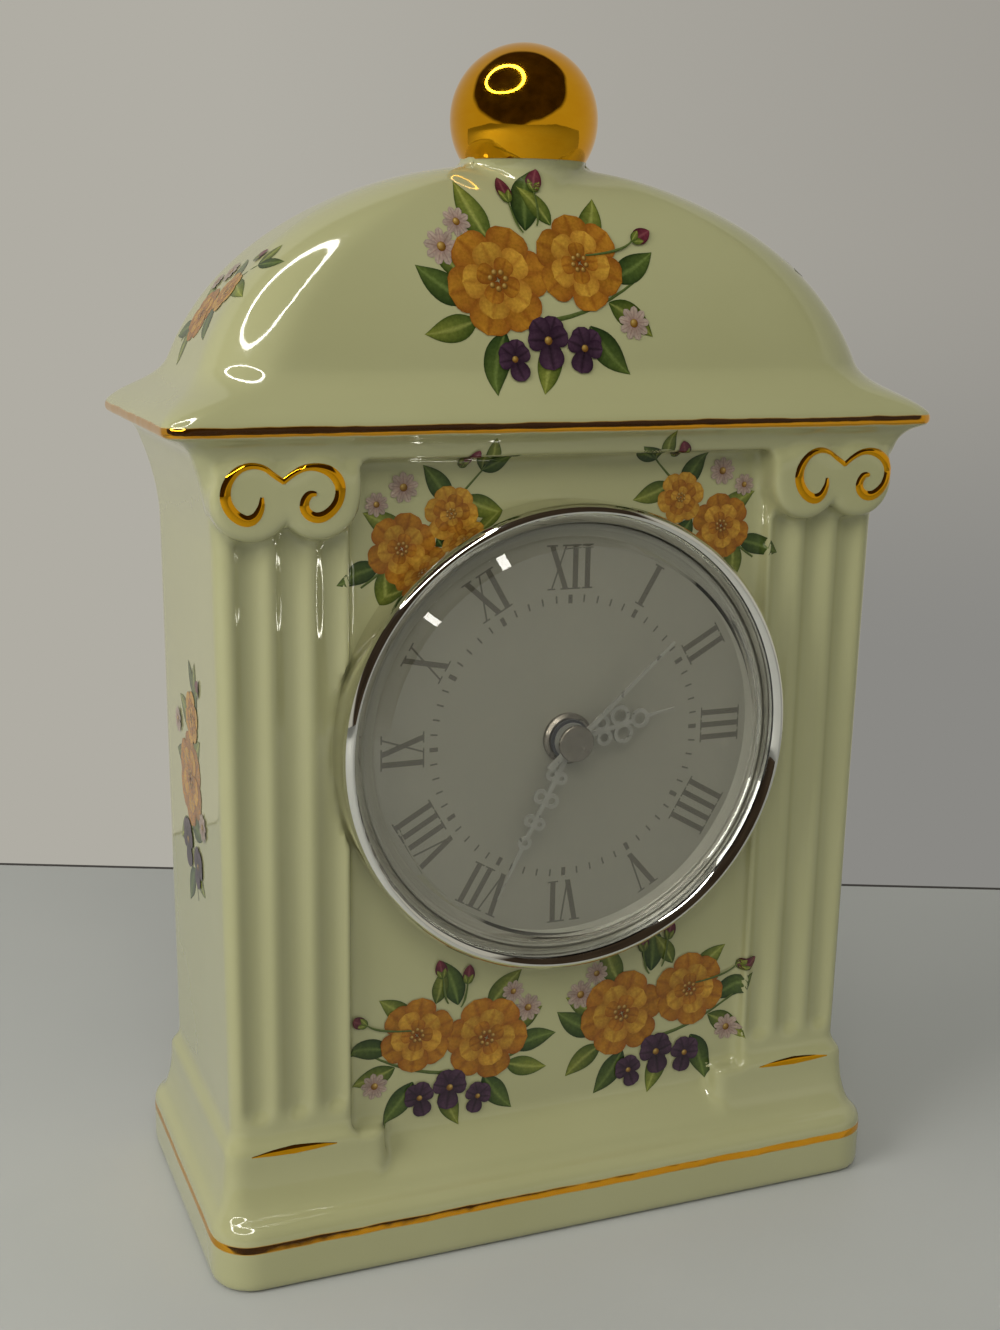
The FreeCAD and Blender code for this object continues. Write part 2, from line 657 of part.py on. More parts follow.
def turned_boss(body, name, across, height, corners):
    """A boss on the front, turned about a level line. Its corners are (distance in front, radius)."""
    drawing = new_sketch(body, name + "_sketch", "YZ_Plane", across)
    outline(drawing, [("-(%s)" % c[0], "%s + %s" % (height, c[1])) + tuple(c[2:]) for c in corners])
    own_axis(drawing, "-(%s)" % corners[0][0], height, ("-(%s)" % corners[-1][0], height))
    made = feature(body, "Revolution", name, drawing)
    made.ReferenceAxis = (drawing, ["Axis0"])


def case_capitals(body):
    """Each capital has two scrolls side by side under a plain block."""
    for side, label in ((-1, "left"), (1, "right")):
        for step in range(2):
            place = "%d * (scroll_inner + scroll_pitch * %d)" % (side, step)
            turned_boss(body, "scroll_%s_%d" % (label, step), place, "scroll_height", [
                ("panel_out", "0"),
                ("panel_out", "scroll_radius"),
                ("capital_out - scroll_round", "scroll_radius"),
                ("capital_out", "scroll_radius - scroll_round", "scroll_round", 1),
                ("capital_out", "0"),
            ])
        inner = "%d * (scroll_inner - scroll_radius)" % side
        outer = "%d * (%s - wall_corner)" % (side, FLARE_WIDE)
        left, right = (inner, outer) if side > 0 else (outer, inner)
        drawing = new_sketch(body, "abacus_%s_sketch" % label, "YZ_Plane", left)
        outline(drawing, [
            ("-panel_out", "scroll_height"),
            ("-panel_out", "cove_start"),
            ("-(%s)" % FLARE_DEEP, "cove_start"),
            ("-capital_out", "cove_start - scroll_round * 2", "scroll_round * 3", 1),
            ("-capital_out", "scroll_height"),
        ])
        feature(body, "Pad", "abacus_" + label, drawing, "(%s) - (%s)" % (right, left))


def case_front(body):
    """The sunk panel, its foot between the pedestals, and the room for the bezel beside the pilasters."""
    cut_in(body, "panel_recess", "cornice_half_depth", "panel_out",
           lambda s: rectangle(s, "-panel_half_width", "panel_half_width", "plinth_top", "cove_start"))
    foot = new_sketch(body, "panel_foot_sketch", "YZ_Plane", "-pedestal_inner")
    outline(foot, [
        ("-panel_out", "plinth_top"),
        ("-panel_out", "panel_foot + panel_foot_round"),
        ("-(panel_out + panel_foot_round * 0.5)", "panel_foot + panel_foot_round * 0.134", "panel_foot_round", -1),
        ("-(plinth_half_depth + plinth_spread * 2)", "slab_height"),
        ("-slab_half_depth", "slab_height"),
        ("-slab_half_depth", "plinth_top"),
    ])
    cut = feature(body, "Pocket", "panel_foot_cut", foot, "pedestal_inner * 2", back=True)
    stands_out = "panel_out + panel_sunk / 2"
    round_edges(body, "pedestal_inner_edges", cut, "pedestal_round",
                lambda box, edge: near(abs(box.Center.x), "pedestal_inner") and near(box.ZMax, "plinth_top")
                and -box.YMax > worth(stands_out))
    case_flutes(body)
    case_capitals(body)
    cut_in(body, "bezel_room", "cornice_half_depth", "panel_out",
           lambda s: circle(s, "bezel_radius + bezel_play", "0", "axis_height"))


def case_inside(body):
    """The slip-cast hollow, the hole for the insert, the access hole and the recess under the base."""
    wide = "wall_half_width - wall"
    deep = "(wall_half_depth - wall + panel_out - wall) / 2"
    middle = "(wall_half_depth - panel_out) / 2"
    loft(body, "hollow", [
        ("foot_recess + wall", wide, deep, "wall_corner", middle),
        ("flare_start", wide + " + wall_draft", deep, "wall_corner", middle),
        ("dome_foot - wall", "dome_half_width * 0.93 - wall", "dome_half_depth * 0.9 - wall", "wall_corner * 2", "0"),
    ], ruled=True, kind="SubtractiveLoft")
    start = foot_share()
    sections = [dome_section(start, "wall")] + [dome_section(level, "wall") for level in DOME_HEIGHT_SHARES[1:4]]
    loft(body, "dome_hollow", sections, ruled=True, kind="SubtractiveLoft")
    cut_in(body, "front_hole", "panel_out + wall", "0", lambda s: circle(s, "insert_hole", "0", "axis_height"))
    cut_in(body, "back_hole", "0", "-(wall_half_depth + wall)",
           lambda s: circle(s, "access_hole", "0", "axis_height"))
    recess = new_sketch(body, "foot_recess_sketch", "XY_Plane", "0")
    round_rectangle(recess, "slab_half_width - foot_rim", "slab_half_depth - foot_rim", "slab_corner / 2")
    feature(body, "Pocket", "foot_hollow", recess, "foot_recess", back=True)


def make_case():
    body = new_body("case", lifted=False)
    case_base(body)
    case_walls(body)
    case_roof(body)
    case_front(body)
    case_inside(body)
    return body


# Insert: bezel, glass, dial and cup

CUP_INSIDE = "cup_radius - cup_wall"
FLANGE_OUT = "panel_out + cup_flange"
FLOOR_OUT = "dial_out - dial_thick"


def make_bezel():
    """Chromed ring seated on the panel. Its face slopes in to a lip over the glass's edge."""
    body = new_body("bezel")
    turn(body, "ring", [
        ("panel_out", "bezel_bore"),
        ("panel_out", "bezel_radius"),
        ("bezel_front_out - bezel_edge_round", "bezel_radius"),
        ("bezel_front_out", "bezel_radius - bezel_edge_round", "bezel_edge_round", 1),
        ("lens_edge_out + bezel_lip_thick", "lip_radius", "bezel_bulge", 1),
        ("lens_edge_out", "lip_radius"),
        ("lens_edge_out", "bezel_bore"),
    ])
    return body


def make_lens():
    """Pressed glass with a bevelled rim that stands out of the bezel, hollow behind for the hands."""
    body = new_body("lens")
    turn(body, "glass", [
        ("lens_back_out", "lens_foot - lens_thick * 1.4"),
        ("lens_back_out", "bezel_bore"),
        ("lens_edge_out", "bezel_bore"),
        ("lens_edge_out", "lens_foot"),
        ("lens_out", "lens_flat"),
        ("lens_out", "0"),
        ("lens_out - lens_thick", "0"),
        ("lens_out - lens_thick", "lens_flat - lens_thick * 0.4"),
    ])
    return body


def make_dial_ring():
    """Satin ring that holds the dial's edge and carries the glass, with one step."""
    body = new_body("dial_ring")
    turn(body, "slope", [
        (FLANGE_OUT, "cup_radius"),
        (FLANGE_OUT, "bezel_bore"),
        ("lens_back_out", "bezel_bore"),
        ("lens_back_out", "ring_step_radius + ring_step"),
        ("ring_step_out", "ring_step_radius"),
        ("ring_step_out", "ring_step_radius - ring_step"),
        ("dial_out", "dial_view"),
        ("dial_out", "cup_radius"),
    ])
    return body


def make_dial():
    body = new_body("dial")
    pad_out(body, "disc", FLOOR_OUT, "dial_out", lambda s: circle(s, "dial_radius"))
    cut_in(body, "post_hole", "dial_out", FLOOR_OUT, lambda s: circle(s, "dial_hole"))
    return body


def make_cup():
    """Thin cup with a flange behind the bezel. Its floor, in front of the flange, carries the dial."""
    body = new_body("insert_cup")
    turn(body, "cup", [
        (FLOOR_OUT + " - cup_floor", "dial_hole"),
        (FLOOR_OUT + " - cup_floor", CUP_INSIDE),
        ("cup_back_out", CUP_INSIDE),
        ("cup_back_out", "cup_radius"),
        ("panel_out", "cup_radius"),
        ("panel_out", "bezel_bore"),
        (FLANGE_OUT, "bezel_bore"),
        (FLANGE_OUT, "cup_radius"),
        (FLOOR_OUT, "cup_radius"),
        (FLOOR_OUT, "dial_hole"),
    ])
    return body


def make_grip_ring():
    """Rubber sleeve on the cup. Its ribs hold the insert in the hole."""
    body = new_body("grip_ring")
    pitch = "(grip_wide / grip_rib_count)"
    tip = "insert_hole - grip_fit"
    sleeve = "cup_radius + (insert_hole - cup_radius) * 0.4"
    corners = [("grip_front_out", "cup_radius"), ("grip_front_out - grip_wide", "cup_radius")]
    corners.append(("grip_front_out - grip_wide", sleeve))
    for step in reversed(range(int(worth("grip_rib_count")))):
        middle = "grip_front_out - %s * %.1f" % (pitch, step + 0.5)
        corners.append((middle + " - grip_rib / 2", sleeve))
        corners.append((middle, tip))
        corners.append((middle + " + grip_rib / 2", sleeve))
    corners.append(("grip_front_out", sleeve))
    turn(body, "sleeve", corners)
    return body


def make_dial_nut():
    body = new_body("dial_nut")
    turn(body, "nut", [
        ("dial_out", "post_radius"),
        ("dial_out", "nut_radius"),
        ("dial_out + nut_thick * 0.6", "nut_radius"),
        ("dial_out + nut_thick", "nut_radius - nut_thick * 0.4"),
        ("dial_out + nut_thick", "post_radius"),
    ])
    return body


# Movement case

BAY_TOP = "battery_radius + bay_gap - battery_drop"


def polar(distance, angle):
    return "%s * cos(%s)" % (distance, angle), "%s * sin(%s)" % (distance, angle)


THIRD_AT = polar("third_distance", "third_angle")
MOTION_AT = polar("motion_distance", "motion_angle")
FIFTH_AT = polar("fifth_distance", "fifth_angle")
ROTOR_AT = tuple("%s + %s" % pair for pair in zip(FIFTH_AT, polar("rotor_distance", "rotor_angle")))
PILLARS = [("%s pillar_across" % side, height) for side in ("-", "") for height in ("-pillar_low", "pillar_high")]
BOARD_POSTS = [("board_across %s board_half_wide * 0.7" % side, "0") for side in ("-", "+")]


def bored(body, name, front, back, holes):
    """Round holes through a plate. Each is (radius, across, up)."""
    def draw(drawing):
        for radius, across, up in holes:
            circle(drawing, radius, across, up)
    cut_in(body, name, front, back, draw)


def tray(body, name, back, front, room_back, room_front):
    """A square box with rounded corners, a room inside and the wall between wheels and battery."""
    pad_out(body, name, back, front, lambda s: round_rectangle(s, "case_half", "case_half", "case_corner"))
    cut_in(body, name + "_room", room_front, room_back,
           lambda s: round_rectangle(s, "case_half - case_wall", "case_half - case_wall", "case_corner - case_wall"))
    pad_out(body, name + "_bay_wall", room_back, room_front,
            lambda s: rectangle(s, "-(case_half - case_wall / 2)", "case_half - case_wall / 2",
                                BAY_TOP, BAY_TOP + " + bay_wall"))


def make_front_case():
    """Front half of the movement: tray, threaded post and the pillars under the bridge."""
    body = new_body("movement_front_case")
    tray(body, "tray", "case_split_out", "movement_out", "case_split_out", "movement_out - case_wall")
    pad_out(body, "post", "movement_out - case_wall", "post_end_out", lambda s: circle(s, "post_radius"))
    for step, (across, up) in enumerate(PILLARS):
        pad_out(body, "pillar_%d" % step, "bridge_out", "movement_out - case_wall / 2",
                lambda s: circle(s, "pillar_radius", across, up))
    bored(body, "bearings", "post_end_out", "bridge_out", [
        ("hour_pipe + run_gap", "0", "0"),
        ("thin_arbor + run_gap", *THIRD_AT),
        ("setting_arbor + run_gap", *MOTION_AT),
    ])
    return body


def make_back_cover():
    """Back half of the movement, open over the battery bay."""
    body = new_body("movement_back_cover")
    tray(body, "tray", "case_back_out", "case_split_out", "case_back_out + case_wall", "case_split_out")
    for step, (across, up) in enumerate(BOARD_POSTS):
        pad_out(body, "board_post_%d" % step, "case_back_out + case_wall / 2", "board_out - board_thick",
                lambda s: circle(s, "board_post", across, up))
    mouth = "battery_half + battery_button / 2 + bay_gap"
    cut_in(body, "bay_mouth", "case_back_out + case_wall", "case_back_out",
           lambda s: rectangle(s, "-(%s)" % mouth, mouth, "-(battery_drop + battery_radius + bay_gap)", BAY_TOP))
    bored(body, "bearings", "case_split_out", "case_back_out", [
        ("seconds_arbor + run_gap", "0", "0"),
        ("thin_arbor + run_gap", *FIFTH_AT),
        ("thin_arbor + run_gap", *ROTOR_AT),
        ("setting_arbor + run_gap", *MOTION_AT),
    ])
    return body


def make_bridge():
    """Plate on the pillars that carries the inner pivots."""
    body = new_body("train_bridge")
    pad_out(body, "plate", "bridge_out - bridge_thick", "bridge_out",
            lambda s: rectangle(s, "-bridge_half", "bridge_half", "-bridge_low", "bridge_high"))
    bored(body, "bearings", "bridge_out", "bridge_out - bridge_thick", [
        ("seconds_arbor + run_gap", "0", "0"),
        ("thin_arbor + run_gap", *THIRD_AT),
        ("thin_arbor + run_gap", *FIFTH_AT),
        ("thin_arbor + run_gap", *ROTOR_AT),
        ("setting_arbor + run_gap", *MOTION_AT),
    ])
    return body


def bar_x(body, name, left, right, radius, out, up="0"):
    """A round bar along X."""
    drawing = new_sketch(body, name + "_sketch", "YZ_Plane", left)
    circle(drawing, radius, "-(%s)" % out, up)
    return feature(body, "Pad", name, drawing, "(%s) - (%s)" % (right, left))


def make_battery():
    """AA cell lying along X, with its button at the right."""
    body = new_body("battery", up="-battery_drop")
    bar_x(body, "cell", "-(battery_half + battery_button / 2)", "battery_half - battery_button / 2",
          "battery_radius", "battery_out")
    bar_x(body, "button", "battery_half - battery_button / 2", "battery_half + battery_button / 2",
          "battery_button_radius", "battery_out")
    return body


def make_contact(label, side):
    """Spring plate on the end wall of the bay, with a round dimple towards the cell."""
    body = new_body(label, up="-battery_drop")
    wall_at = "case_half - case_wall"
    inner = wall_at + " - contact_thick"
    reach = "battery_half + battery_button / 2 + run_gap"
    left, right = (inner, wall_at) if side > 0 else ("-(%s)" % wall_at, "-(%s)" % inner)
    drawing = new_sketch(body, "plate_sketch", "YZ_Plane", left)
    rectangle(drawing, "-(battery_out + contact_wide / 2)", "-(battery_out - contact_wide / 2)",
              "-contact_wide / 2", "contact_wide / 2")
    feature(body, "Pad", "plate", drawing, "(%s) - (%s)" % (right, left))
    left, right = (reach, inner) if side > 0 else ("-(%s)" % inner, "-(%s)" % reach)
    bar_x(body, "dimple", left, right, "contact_wide / 4", "battery_out")
    return body


def make_board():
    body = new_body("circuit_board", across="board_across")
    pad_out(body, "board", "board_out - board_thick", "board_out",
            lambda s: rectangle(s, "-board_half_wide", "board_half_wide", "-board_half_high", "board_half_high"))
    return body


def make_crystal():
    """The quartz crystal's can, lying on the board."""
    body = new_body("quartz_crystal", across="board_across", up="board_half_high / 2")
    bar_x(body, "can", "-crystal_long / 2", "crystal_long / 2", "crystal_radius", "board_out + crystal_radius")
    return body


# Electric motor


def make_stator():
    """Flat iron frame: a bar with the hole for the rotor, two arms and the core through the coil."""
    body = new_body("stator")
    top = "coil_height + core_high / 2"
    pad_out(body, "frame", "stator_out - stator_thick", "stator_out",
            lambda s: rectangle(s, "-stator_half", "stator_half", "stator_low", top))
    cut_in(body, "window", "stator_out", "stator_out - stator_thick",
           lambda s: rectangle(s, "-(stator_half - stator_arm)", "stator_half - stator_arm",
                               "stator_low + stator_bar", "coil_height - core_high / 2"))
    bored(body, "rotor_hole", "stator_out", "stator_out - stator_thick", [("rotor_radius + rotor_gap", *ROTOR_AT)])
    return body


COIL_OUT = "stator_out - stator_thick / 2"


def make_bobbin():
    body = new_body("coil_bobbin", up="coil_height")
    bar_x(body, "core", "-bobbin_half", "bobbin_half", "bobbin_bore + bobbin_wall", COIL_OUT)
    for name, left, right in (("left_flange", "-bobbin_half", "-(bobbin_half - bobbin_flange)"),
                              ("right_flange", "bobbin_half - bobbin_flange", "bobbin_half")):
        bar_x(body, name, left, right, "bobbin_flange_radius", COIL_OUT)
    drawing = new_sketch(body, "bore_sketch", "YZ_Plane", "bobbin_half")
    circle(drawing, "bobbin_bore", "-(%s)" % COIL_OUT, "0")
    feature(body, "Pocket", "bore", drawing, "bobbin_half * 2")
    return body


def make_winding():
    body = new_body("coil_winding", up="coil_height")
    inner = "bobbin_half - bobbin_flange"
    bar_x(body, "copper", "-(%s)" % inner, inner, "coil_radius", COIL_OUT)
    drawing = new_sketch(body, "bore_sketch", "YZ_Plane", inner)
    circle(drawing, "bobbin_bore + bobbin_wall", "-(%s)" % COIL_OUT, "0")
    feature(body, "Pocket", "bore", drawing, "(%s) * 2" % inner)
    return body


def make_rotor_magnet():
    body = new_body("rotor_magnet", across=ROTOR_AT[0], up=ROTOR_AT[1])
    pad_out(body, "magnet", "rotor_front_out - rotor_long", "rotor_front_out", lambda s: circle(s, "rotor_radius"))
    cut_in(body, "bore", "rotor_front_out", "rotor_front_out - rotor_long", lambda s: circle(s, "thin_arbor"))
    return body


# Wheels and pinions. Each is one moulding of toothed discs and round parts along its own arbor.

TOOTH_TIP_SHARE = 0.9
TOOTH_ROOT_SHARE = 1.1
TOOTH_BASE_SHARE = 0.37


def toothed_disc(teeth, module, phase, front, thick):
    """A disc with pointed teeth, one of them at the phase angle from +X towards +Z."""
    count = round(worth(teeth))
    pitch_radius = module * count / 2
    tip = pitch_radius + module * TOOTH_TIP_SHARE
    root = pitch_radius - module * TOOTH_ROOT_SHARE
    step = 2 * math.pi / count
    points = []
    for tooth in range(count):
        middle = math.radians(phase) + tooth * step
        for radius, turn_by in ((root, -TOOTH_BASE_SHARE), (tip, 0), (root, TOOTH_BASE_SHARE)):
            angle = middle + turn_by * step
            points.append(FreeCAD.Vector(radius * math.cos(angle), -worth(front), radius * math.sin(angle)))
    face = Part.Face(Part.makePolygon(points + points[:1]))
    return face.extrude(FreeCAD.Vector(0, worth(thick), 0))


def round_part(radius, front, back):
    """A cylinder about the Y axis."""
    long = worth("(%s) - (%s)" % (front, back))
    return Part.makeCylinder(worth(radius), long, FreeCAD.Vector(0, -worth(front), 0), FreeCAD.Vector(0, 1, 0))


def wheel_piece(label, at, solids, bore=None):
    """One moulded wheel at its arbor's place."""
    shape = solids[0].fuse(solids[1:]) if len(solids) > 1 else solids[0]
    if bore is not None:
        shape = shape.cut(bore)
    piece = doc.addObject("Part::Feature", label)
    piece.Label = label
    piece.Shape = shape.removeSplitter()
    piece.Placement.Base = FreeCAD.Vector(worth(at[0]), 0, worth("axis_height + " + at[1]))
    return piece


def module_of(distance, teeth, more_teeth):
    """The module of a pair that meets at this distance."""
    return 2 * worth(distance) / (worth(teeth) + worth(more_teeth))


def gap_phase(line_angle, teeth):
    """Turns a wheel so that a gap, not a tooth, faces back along the line of centres."""
    return line_angle + 180 + 180 / worth(teeth)


CENTRE_AT = ("0", "0")
THIRD_LINE, MOTION_LINE, FIFTH_LINE, ROTOR_LINE = (
    worth(name) for name in ("third_angle", "motion_angle", "fifth_angle", "rotor_angle"))


def make_rotor_pinion():
    module = module_of("rotor_distance", "rotor_tooth_count", "fifth_tooth_count")
    level = "fifth_level_out + (pinion_long - wheel_thick) / 2"
    return wheel_piece("rotor_pinion", ROTOR_AT, [
        toothed_disc("rotor_tooth_count", module, ROTOR_LINE + 180, level, "pinion_long"),
        round_part("thin_arbor", "bridge_out", "case_back_out + case_wall / 2"),
    ])


def make_fifth_wheel():
    wheel_module = module_of("rotor_distance", "rotor_tooth_count", "fifth_tooth_count")
    pinion_module = module_of("fifth_distance", "fifth_pinion_tooth_count", "seconds_tooth_count")
    level = "seconds_level_out + (pinion_long - wheel_thick) / 2"
    return wheel_piece("fifth_wheel", FIFTH_AT, [
        toothed_disc("fifth_tooth_count", wheel_module, gap_phase(ROTOR_LINE + 180, "fifth_tooth_count"), "fifth_level_out",
                     "wheel_thick"),
        toothed_disc("fifth_pinion_tooth_count", pinion_module, FIFTH_LINE + 180, level, "pinion_long"),
        round_part("thin_arbor", "bridge_out", "case_back_out + case_wall / 2"),
    ])


def make_seconds_wheel():
    """Wheel, pinion and the long arbor that carries the seconds hand."""
    wheel_module = module_of("fifth_distance", "fifth_pinion_tooth_count", "seconds_tooth_count")
    pinion_module = module_of("third_distance", "seconds_pinion_tooth_count", "third_tooth_count")
    level = "third_level_out + (pinion_long - wheel_thick) / 2"
    return wheel_piece("seconds_wheel", CENTRE_AT, [
        toothed_disc("seconds_tooth_count", wheel_module, gap_phase(FIFTH_LINE + 180, "seconds_tooth_count"),
                     "seconds_level_out", "wheel_thick"),
        toothed_disc("seconds_pinion_tooth_count", pinion_module, THIRD_LINE, level, "pinion_long"),
        round_part("seconds_arbor", "second_hand_out", "case_back_out + case_wall / 2"),
    ])


def make_third_wheel():
    wheel_module = module_of("third_distance", "seconds_pinion_tooth_count", "third_tooth_count")
    pinion_module = module_of("third_distance", "third_pinion_tooth_count", "centre_tooth_count")
    level = "centre_level_out + (pinion_long - wheel_thick) / 2"
    return wheel_piece("third_wheel", THIRD_AT, [
        toothed_disc("third_tooth_count", wheel_module, gap_phase(THIRD_LINE, "third_tooth_count"), "third_level_out",
                     "wheel_thick"),
        toothed_disc("third_pinion_tooth_count", pinion_module, THIRD_LINE + 180, level, "pinion_long"),
        round_part("thin_arbor", "movement_out - case_wall / 2", "bridge_out - bridge_thick"),
    ])


def make_centre_wheel():
    """Runs on the minute tube and drives it by friction."""
    module = module_of("third_distance", "third_pinion_tooth_count", "centre_tooth_count")
    return wheel_piece("centre_wheel", CENTRE_AT, [
        toothed_disc("centre_tooth_count", module, gap_phase(THIRD_LINE + 180, "centre_tooth_count"), "centre_level_out",
                     "wheel_thick"),
    ], bore=round_part("minute_tube + run_gap", "centre_level_out", "centre_level_out - wheel_thick"))


def make_cannon_pinion():
    module = module_of("motion_distance", "cannon_tooth_count", "motion_tooth_count")
    level = "motion_level_out + (pinion_long - wheel_thick) / 2"
    back = "centre_level_out - wheel_thick"
    return wheel_piece("cannon_pinion", CENTRE_AT, [
        toothed_disc("cannon_tooth_count", module, MOTION_LINE, level, "pinion_long"),
        round_part("minute_tube", "minute_hand_out", back),
    ], bore=round_part("seconds_arbor + run_gap", "minute_hand_out", back))


def make_motion_wheel():
    """Wheel, pinion and the arbor that runs back to the set knob."""
    wheel_module = module_of("motion_distance", "cannon_tooth_count", "motion_tooth_count")
    pinion_module = module_of("motion_distance", "motion_pinion_tooth_count", "hour_tooth_count")
    level = "hour_level_out + (pinion_long - wheel_thick) / 2 - run_gap * 2"
    return wheel_piece("motion_wheel", MOTION_AT, [
        toothed_disc("motion_tooth_count", wheel_module, gap_phase(MOTION_LINE, "motion_tooth_count"), "motion_level_out",
                     "wheel_thick"),
        toothed_disc("motion_pinion_tooth_count", pinion_module, MOTION_LINE + 180, level, "pinion_long"),
        round_part("setting_arbor", "movement_out - case_wall / 2", "knob_back_out + knob_thick / 2"),
    ])


def make_hour_wheel():
    module = module_of("motion_distance", "motion_pinion_tooth_count", "hour_tooth_count")
    back = "hour_level_out - wheel_thick"
    return wheel_piece("hour_wheel", CENTRE_AT, [
        toothed_disc("hour_tooth_count", module, gap_phase(MOTION_LINE + 180, "hour_tooth_count"), "hour_level_out",
                     "wheel_thick"),
        round_part("hour_pipe", "hour_hand_out", back),
    ], bore=round_part("minute_tube + run_gap", "hour_hand_out", back))


def make_set_knob():
    """Grooved knob on the rear end of the motion wheel's arbor."""
    body = new_body("set_knob", across=MOTION_AT[0], up=MOTION_AT[1])
    pad_out(body, "grip", "knob_back_out", "knob_back_out + knob_thick", lambda s: circle(s, "knob_radius"))
    groove = cut_in(body, "groove", "knob_back_out + knob_thick", "knob_back_out",
                    lambda s: circle(s, "knob_grip * 1.5", "knob_radius + knob_grip / 2", "0"))
    doc.recompute()
    grooves = body.newObject("PartDesign::PolarPattern", "grooves")
    grooves.Originals = [groove]
    grooves.Axis = (next(part for part in body.Origin.OriginFeatures if part.Role == "Y_Axis"), [""])
    grooves.Angle = 360
    grooves.setExpression("Occurrences", linked("knob_groove_count"))
    body.Tip = grooves
    pad_out(body, "collar", "knob_back_out + knob_thick", "case_back_out - run_gap",
            lambda s: circle(s, "setting_arbor * 2"))
    cut_in(body, "socket", "case_back_out", "knob_back_out + knob_thick / 2", lambda s: circle(s, "setting_arbor"))
    return body


# Hands


def hand_plate(body, name, front, draw):
    return pad_out(body, name, front + " - hand_thick", front, draw)


def set_hand(body, angle):
    body.Placement.Rotation = FreeCAD.Rotation(FreeCAD.Vector(0, 1, 0), worth(angle))
    body.setExpression("Placement.Rotation.Angle", linked(angle))


def scroll_hand(label, front, bore, long, wide, knots, angle):
    """A pierced hand: hub, tapering stem and pairs of rings like the real one's scrollwork.

    A knot is (distance along the hand, distance to the side, radius), in shares of length, width and width.
    """
    body = new_body(label)
    hub = "%s + hub_wall" % bore
    hand_plate(body, "hub", front, lambda s: circle(s, hub))
    hand_plate(body, "stem", front, lambda s: outline(s, [
        ("scroll_strap * -0.8", "0"),
        ("scroll_strap * 0.8", "0"),
        ("scroll_strap * 0.45", "%s * 0.72" % long),
        ("0", long),
        ("scroll_strap * -0.45", "%s * 0.72" % long),
    ]))
    rings = []
    for step, (along, aside, radius) in enumerate(knots):
        for side in ((-1, 1) if aside else (1,)):
            place = ("%s * %.3f" % (wide, side * aside), "%s * %.3f" % (long, along), "%s * %.3f" % (wide, radius))
            hand_plate(body, "ring_%d_%s" % (step, "left" if side < 0 else "right"), front,
                       lambda s: circle(s, place[2], place[0], place[1]))
            rings.append(place)

    def pierce(drawing):
        for across, up, radius in rings:
            circle(drawing, radius + " - scroll_strap", across, up)
    cut_in(body, "piercing", front, front + " - hand_thick", pierce)
    cut_in(body, "hub_hole", front, front + " - hand_thick", lambda s: circle(s, bore))
    set_hand(body, angle)
    return body


HOUR_KNOTS = ((0.30, 0.155, 0.17), (0.48, 0.19, 0.21), (0.66, 0.0, 0.20))
MINUTE_KNOTS = ((0.22, 0.19, 0.22), (0.36, 0.225, 0.26), (0.51, 0.19, 0.22), (0.64, 0.0, 0.24))


def make_second_hand():
    body = new_body("second_hand")
    front = "second_hand_out"
    hand_plate(body, "hub", front, lambda s: circle(s, "minute_tube"))
    hand_plate(body, "needle", front, lambda s: outline(s, [
        ("-second_hand_wide", "-second_hand_tail"),
        ("second_hand_wide", "-second_hand_tail"),
        ("second_hand_wide / 4", "second_hand_long"),
        ("-second_hand_wide / 4", "second_hand_long"),
    ]))
    cut_in(body, "arbor_hole", front, front + " - hand_thick", lambda s: circle(s, "seconds_arbor"))
    set_hand(body, "second_hand_angle")
    return body


def make_cap():
    """Round polished cap on the seconds hand."""
    body = new_body("second_hand_cap")
    turn(body, "cap", [
        ("second_hand_out", "0"),
        ("second_hand_out", "cap_radius"),
        ("cap_out - hand_thick", "cap_radius"),
        ("cap_out", "cap_radius - hand_thick", "hand_thick", 1),
        ("cap_out", "0"),
    ])
    return body


def make_pieces():
    """Every piece of the clock, in the order in which it is put together."""
    return [
        make_front_case(), make_bridge(), make_back_cover(),
        make_stator(), make_bobbin(), make_winding(), make_board(), make_crystal(),
        make_rotor_magnet(), make_rotor_pinion(), make_fifth_wheel(), make_seconds_wheel(), make_third_wheel(),
        make_centre_wheel(), make_cannon_pinion(), make_motion_wheel(), make_hour_wheel(), make_set_knob(),
        make_contact("positive_contact", 1), make_contact("negative_contact", -1), make_battery(),
        make_cup(), make_grip_ring(), make_dial(), make_dial_nut(),
        scroll_hand("hour_hand", "hour_hand_out", "hour_pipe", "hour_hand_long", "hour_hand_wide", HOUR_KNOTS,
                    "60 + minute_hand_angle / 12"),
        scroll_hand("minute_hand", "minute_hand_out", "minute_tube", "minute_hand_long", "minute_hand_wide",
                    MINUTE_KNOTS, "minute_hand_angle"),
        make_second_hand(), make_cap(),
        make_dial_ring(), make_lens(), make_bezel(),
        make_case(),
    ]


def check(pieces):
    """Stops on a failed object, an empty or broken shape, or a cut that cuts nothing."""
    doc.recompute()
    for item in doc.Objects:
        if "Invalid" in item.State or "Error" in item.State:
            raise RuntimeError("%s failed: %s" % (item.Name, item.State))
        if item.TypeId in ("PartDesign::Pocket", "PartDesign::Groove", "PartDesign::SubtractiveLoft"):
            if item.Shape.Volume > item.BaseFeature.Shape.Volume - 1e-4:
                raise RuntimeError("%s cuts nothing" % item.Name)
    for piece in pieces:
        shape = piece.Shape
        if shape.isNull() or not shape.isValid() or len(shape.Solids) != 1:
            raise RuntimeError("%s has %d solids" % (piece.Label, len(shape.Solids)))


def write(pieces):
    os.makedirs("parts", exist_ok=True)
    for piece in pieces:
        piece.Shape.exportStep("parts/%s.step" % piece.Label)
        box = piece.Shape.BoundBox
        print("%-22s %6.1f x %5.1f x %5.1f mm" % (piece.Label, box.XLength, box.YLength, box.ZLength))


pieces = make_pieces()
check(pieces)
write(pieces)
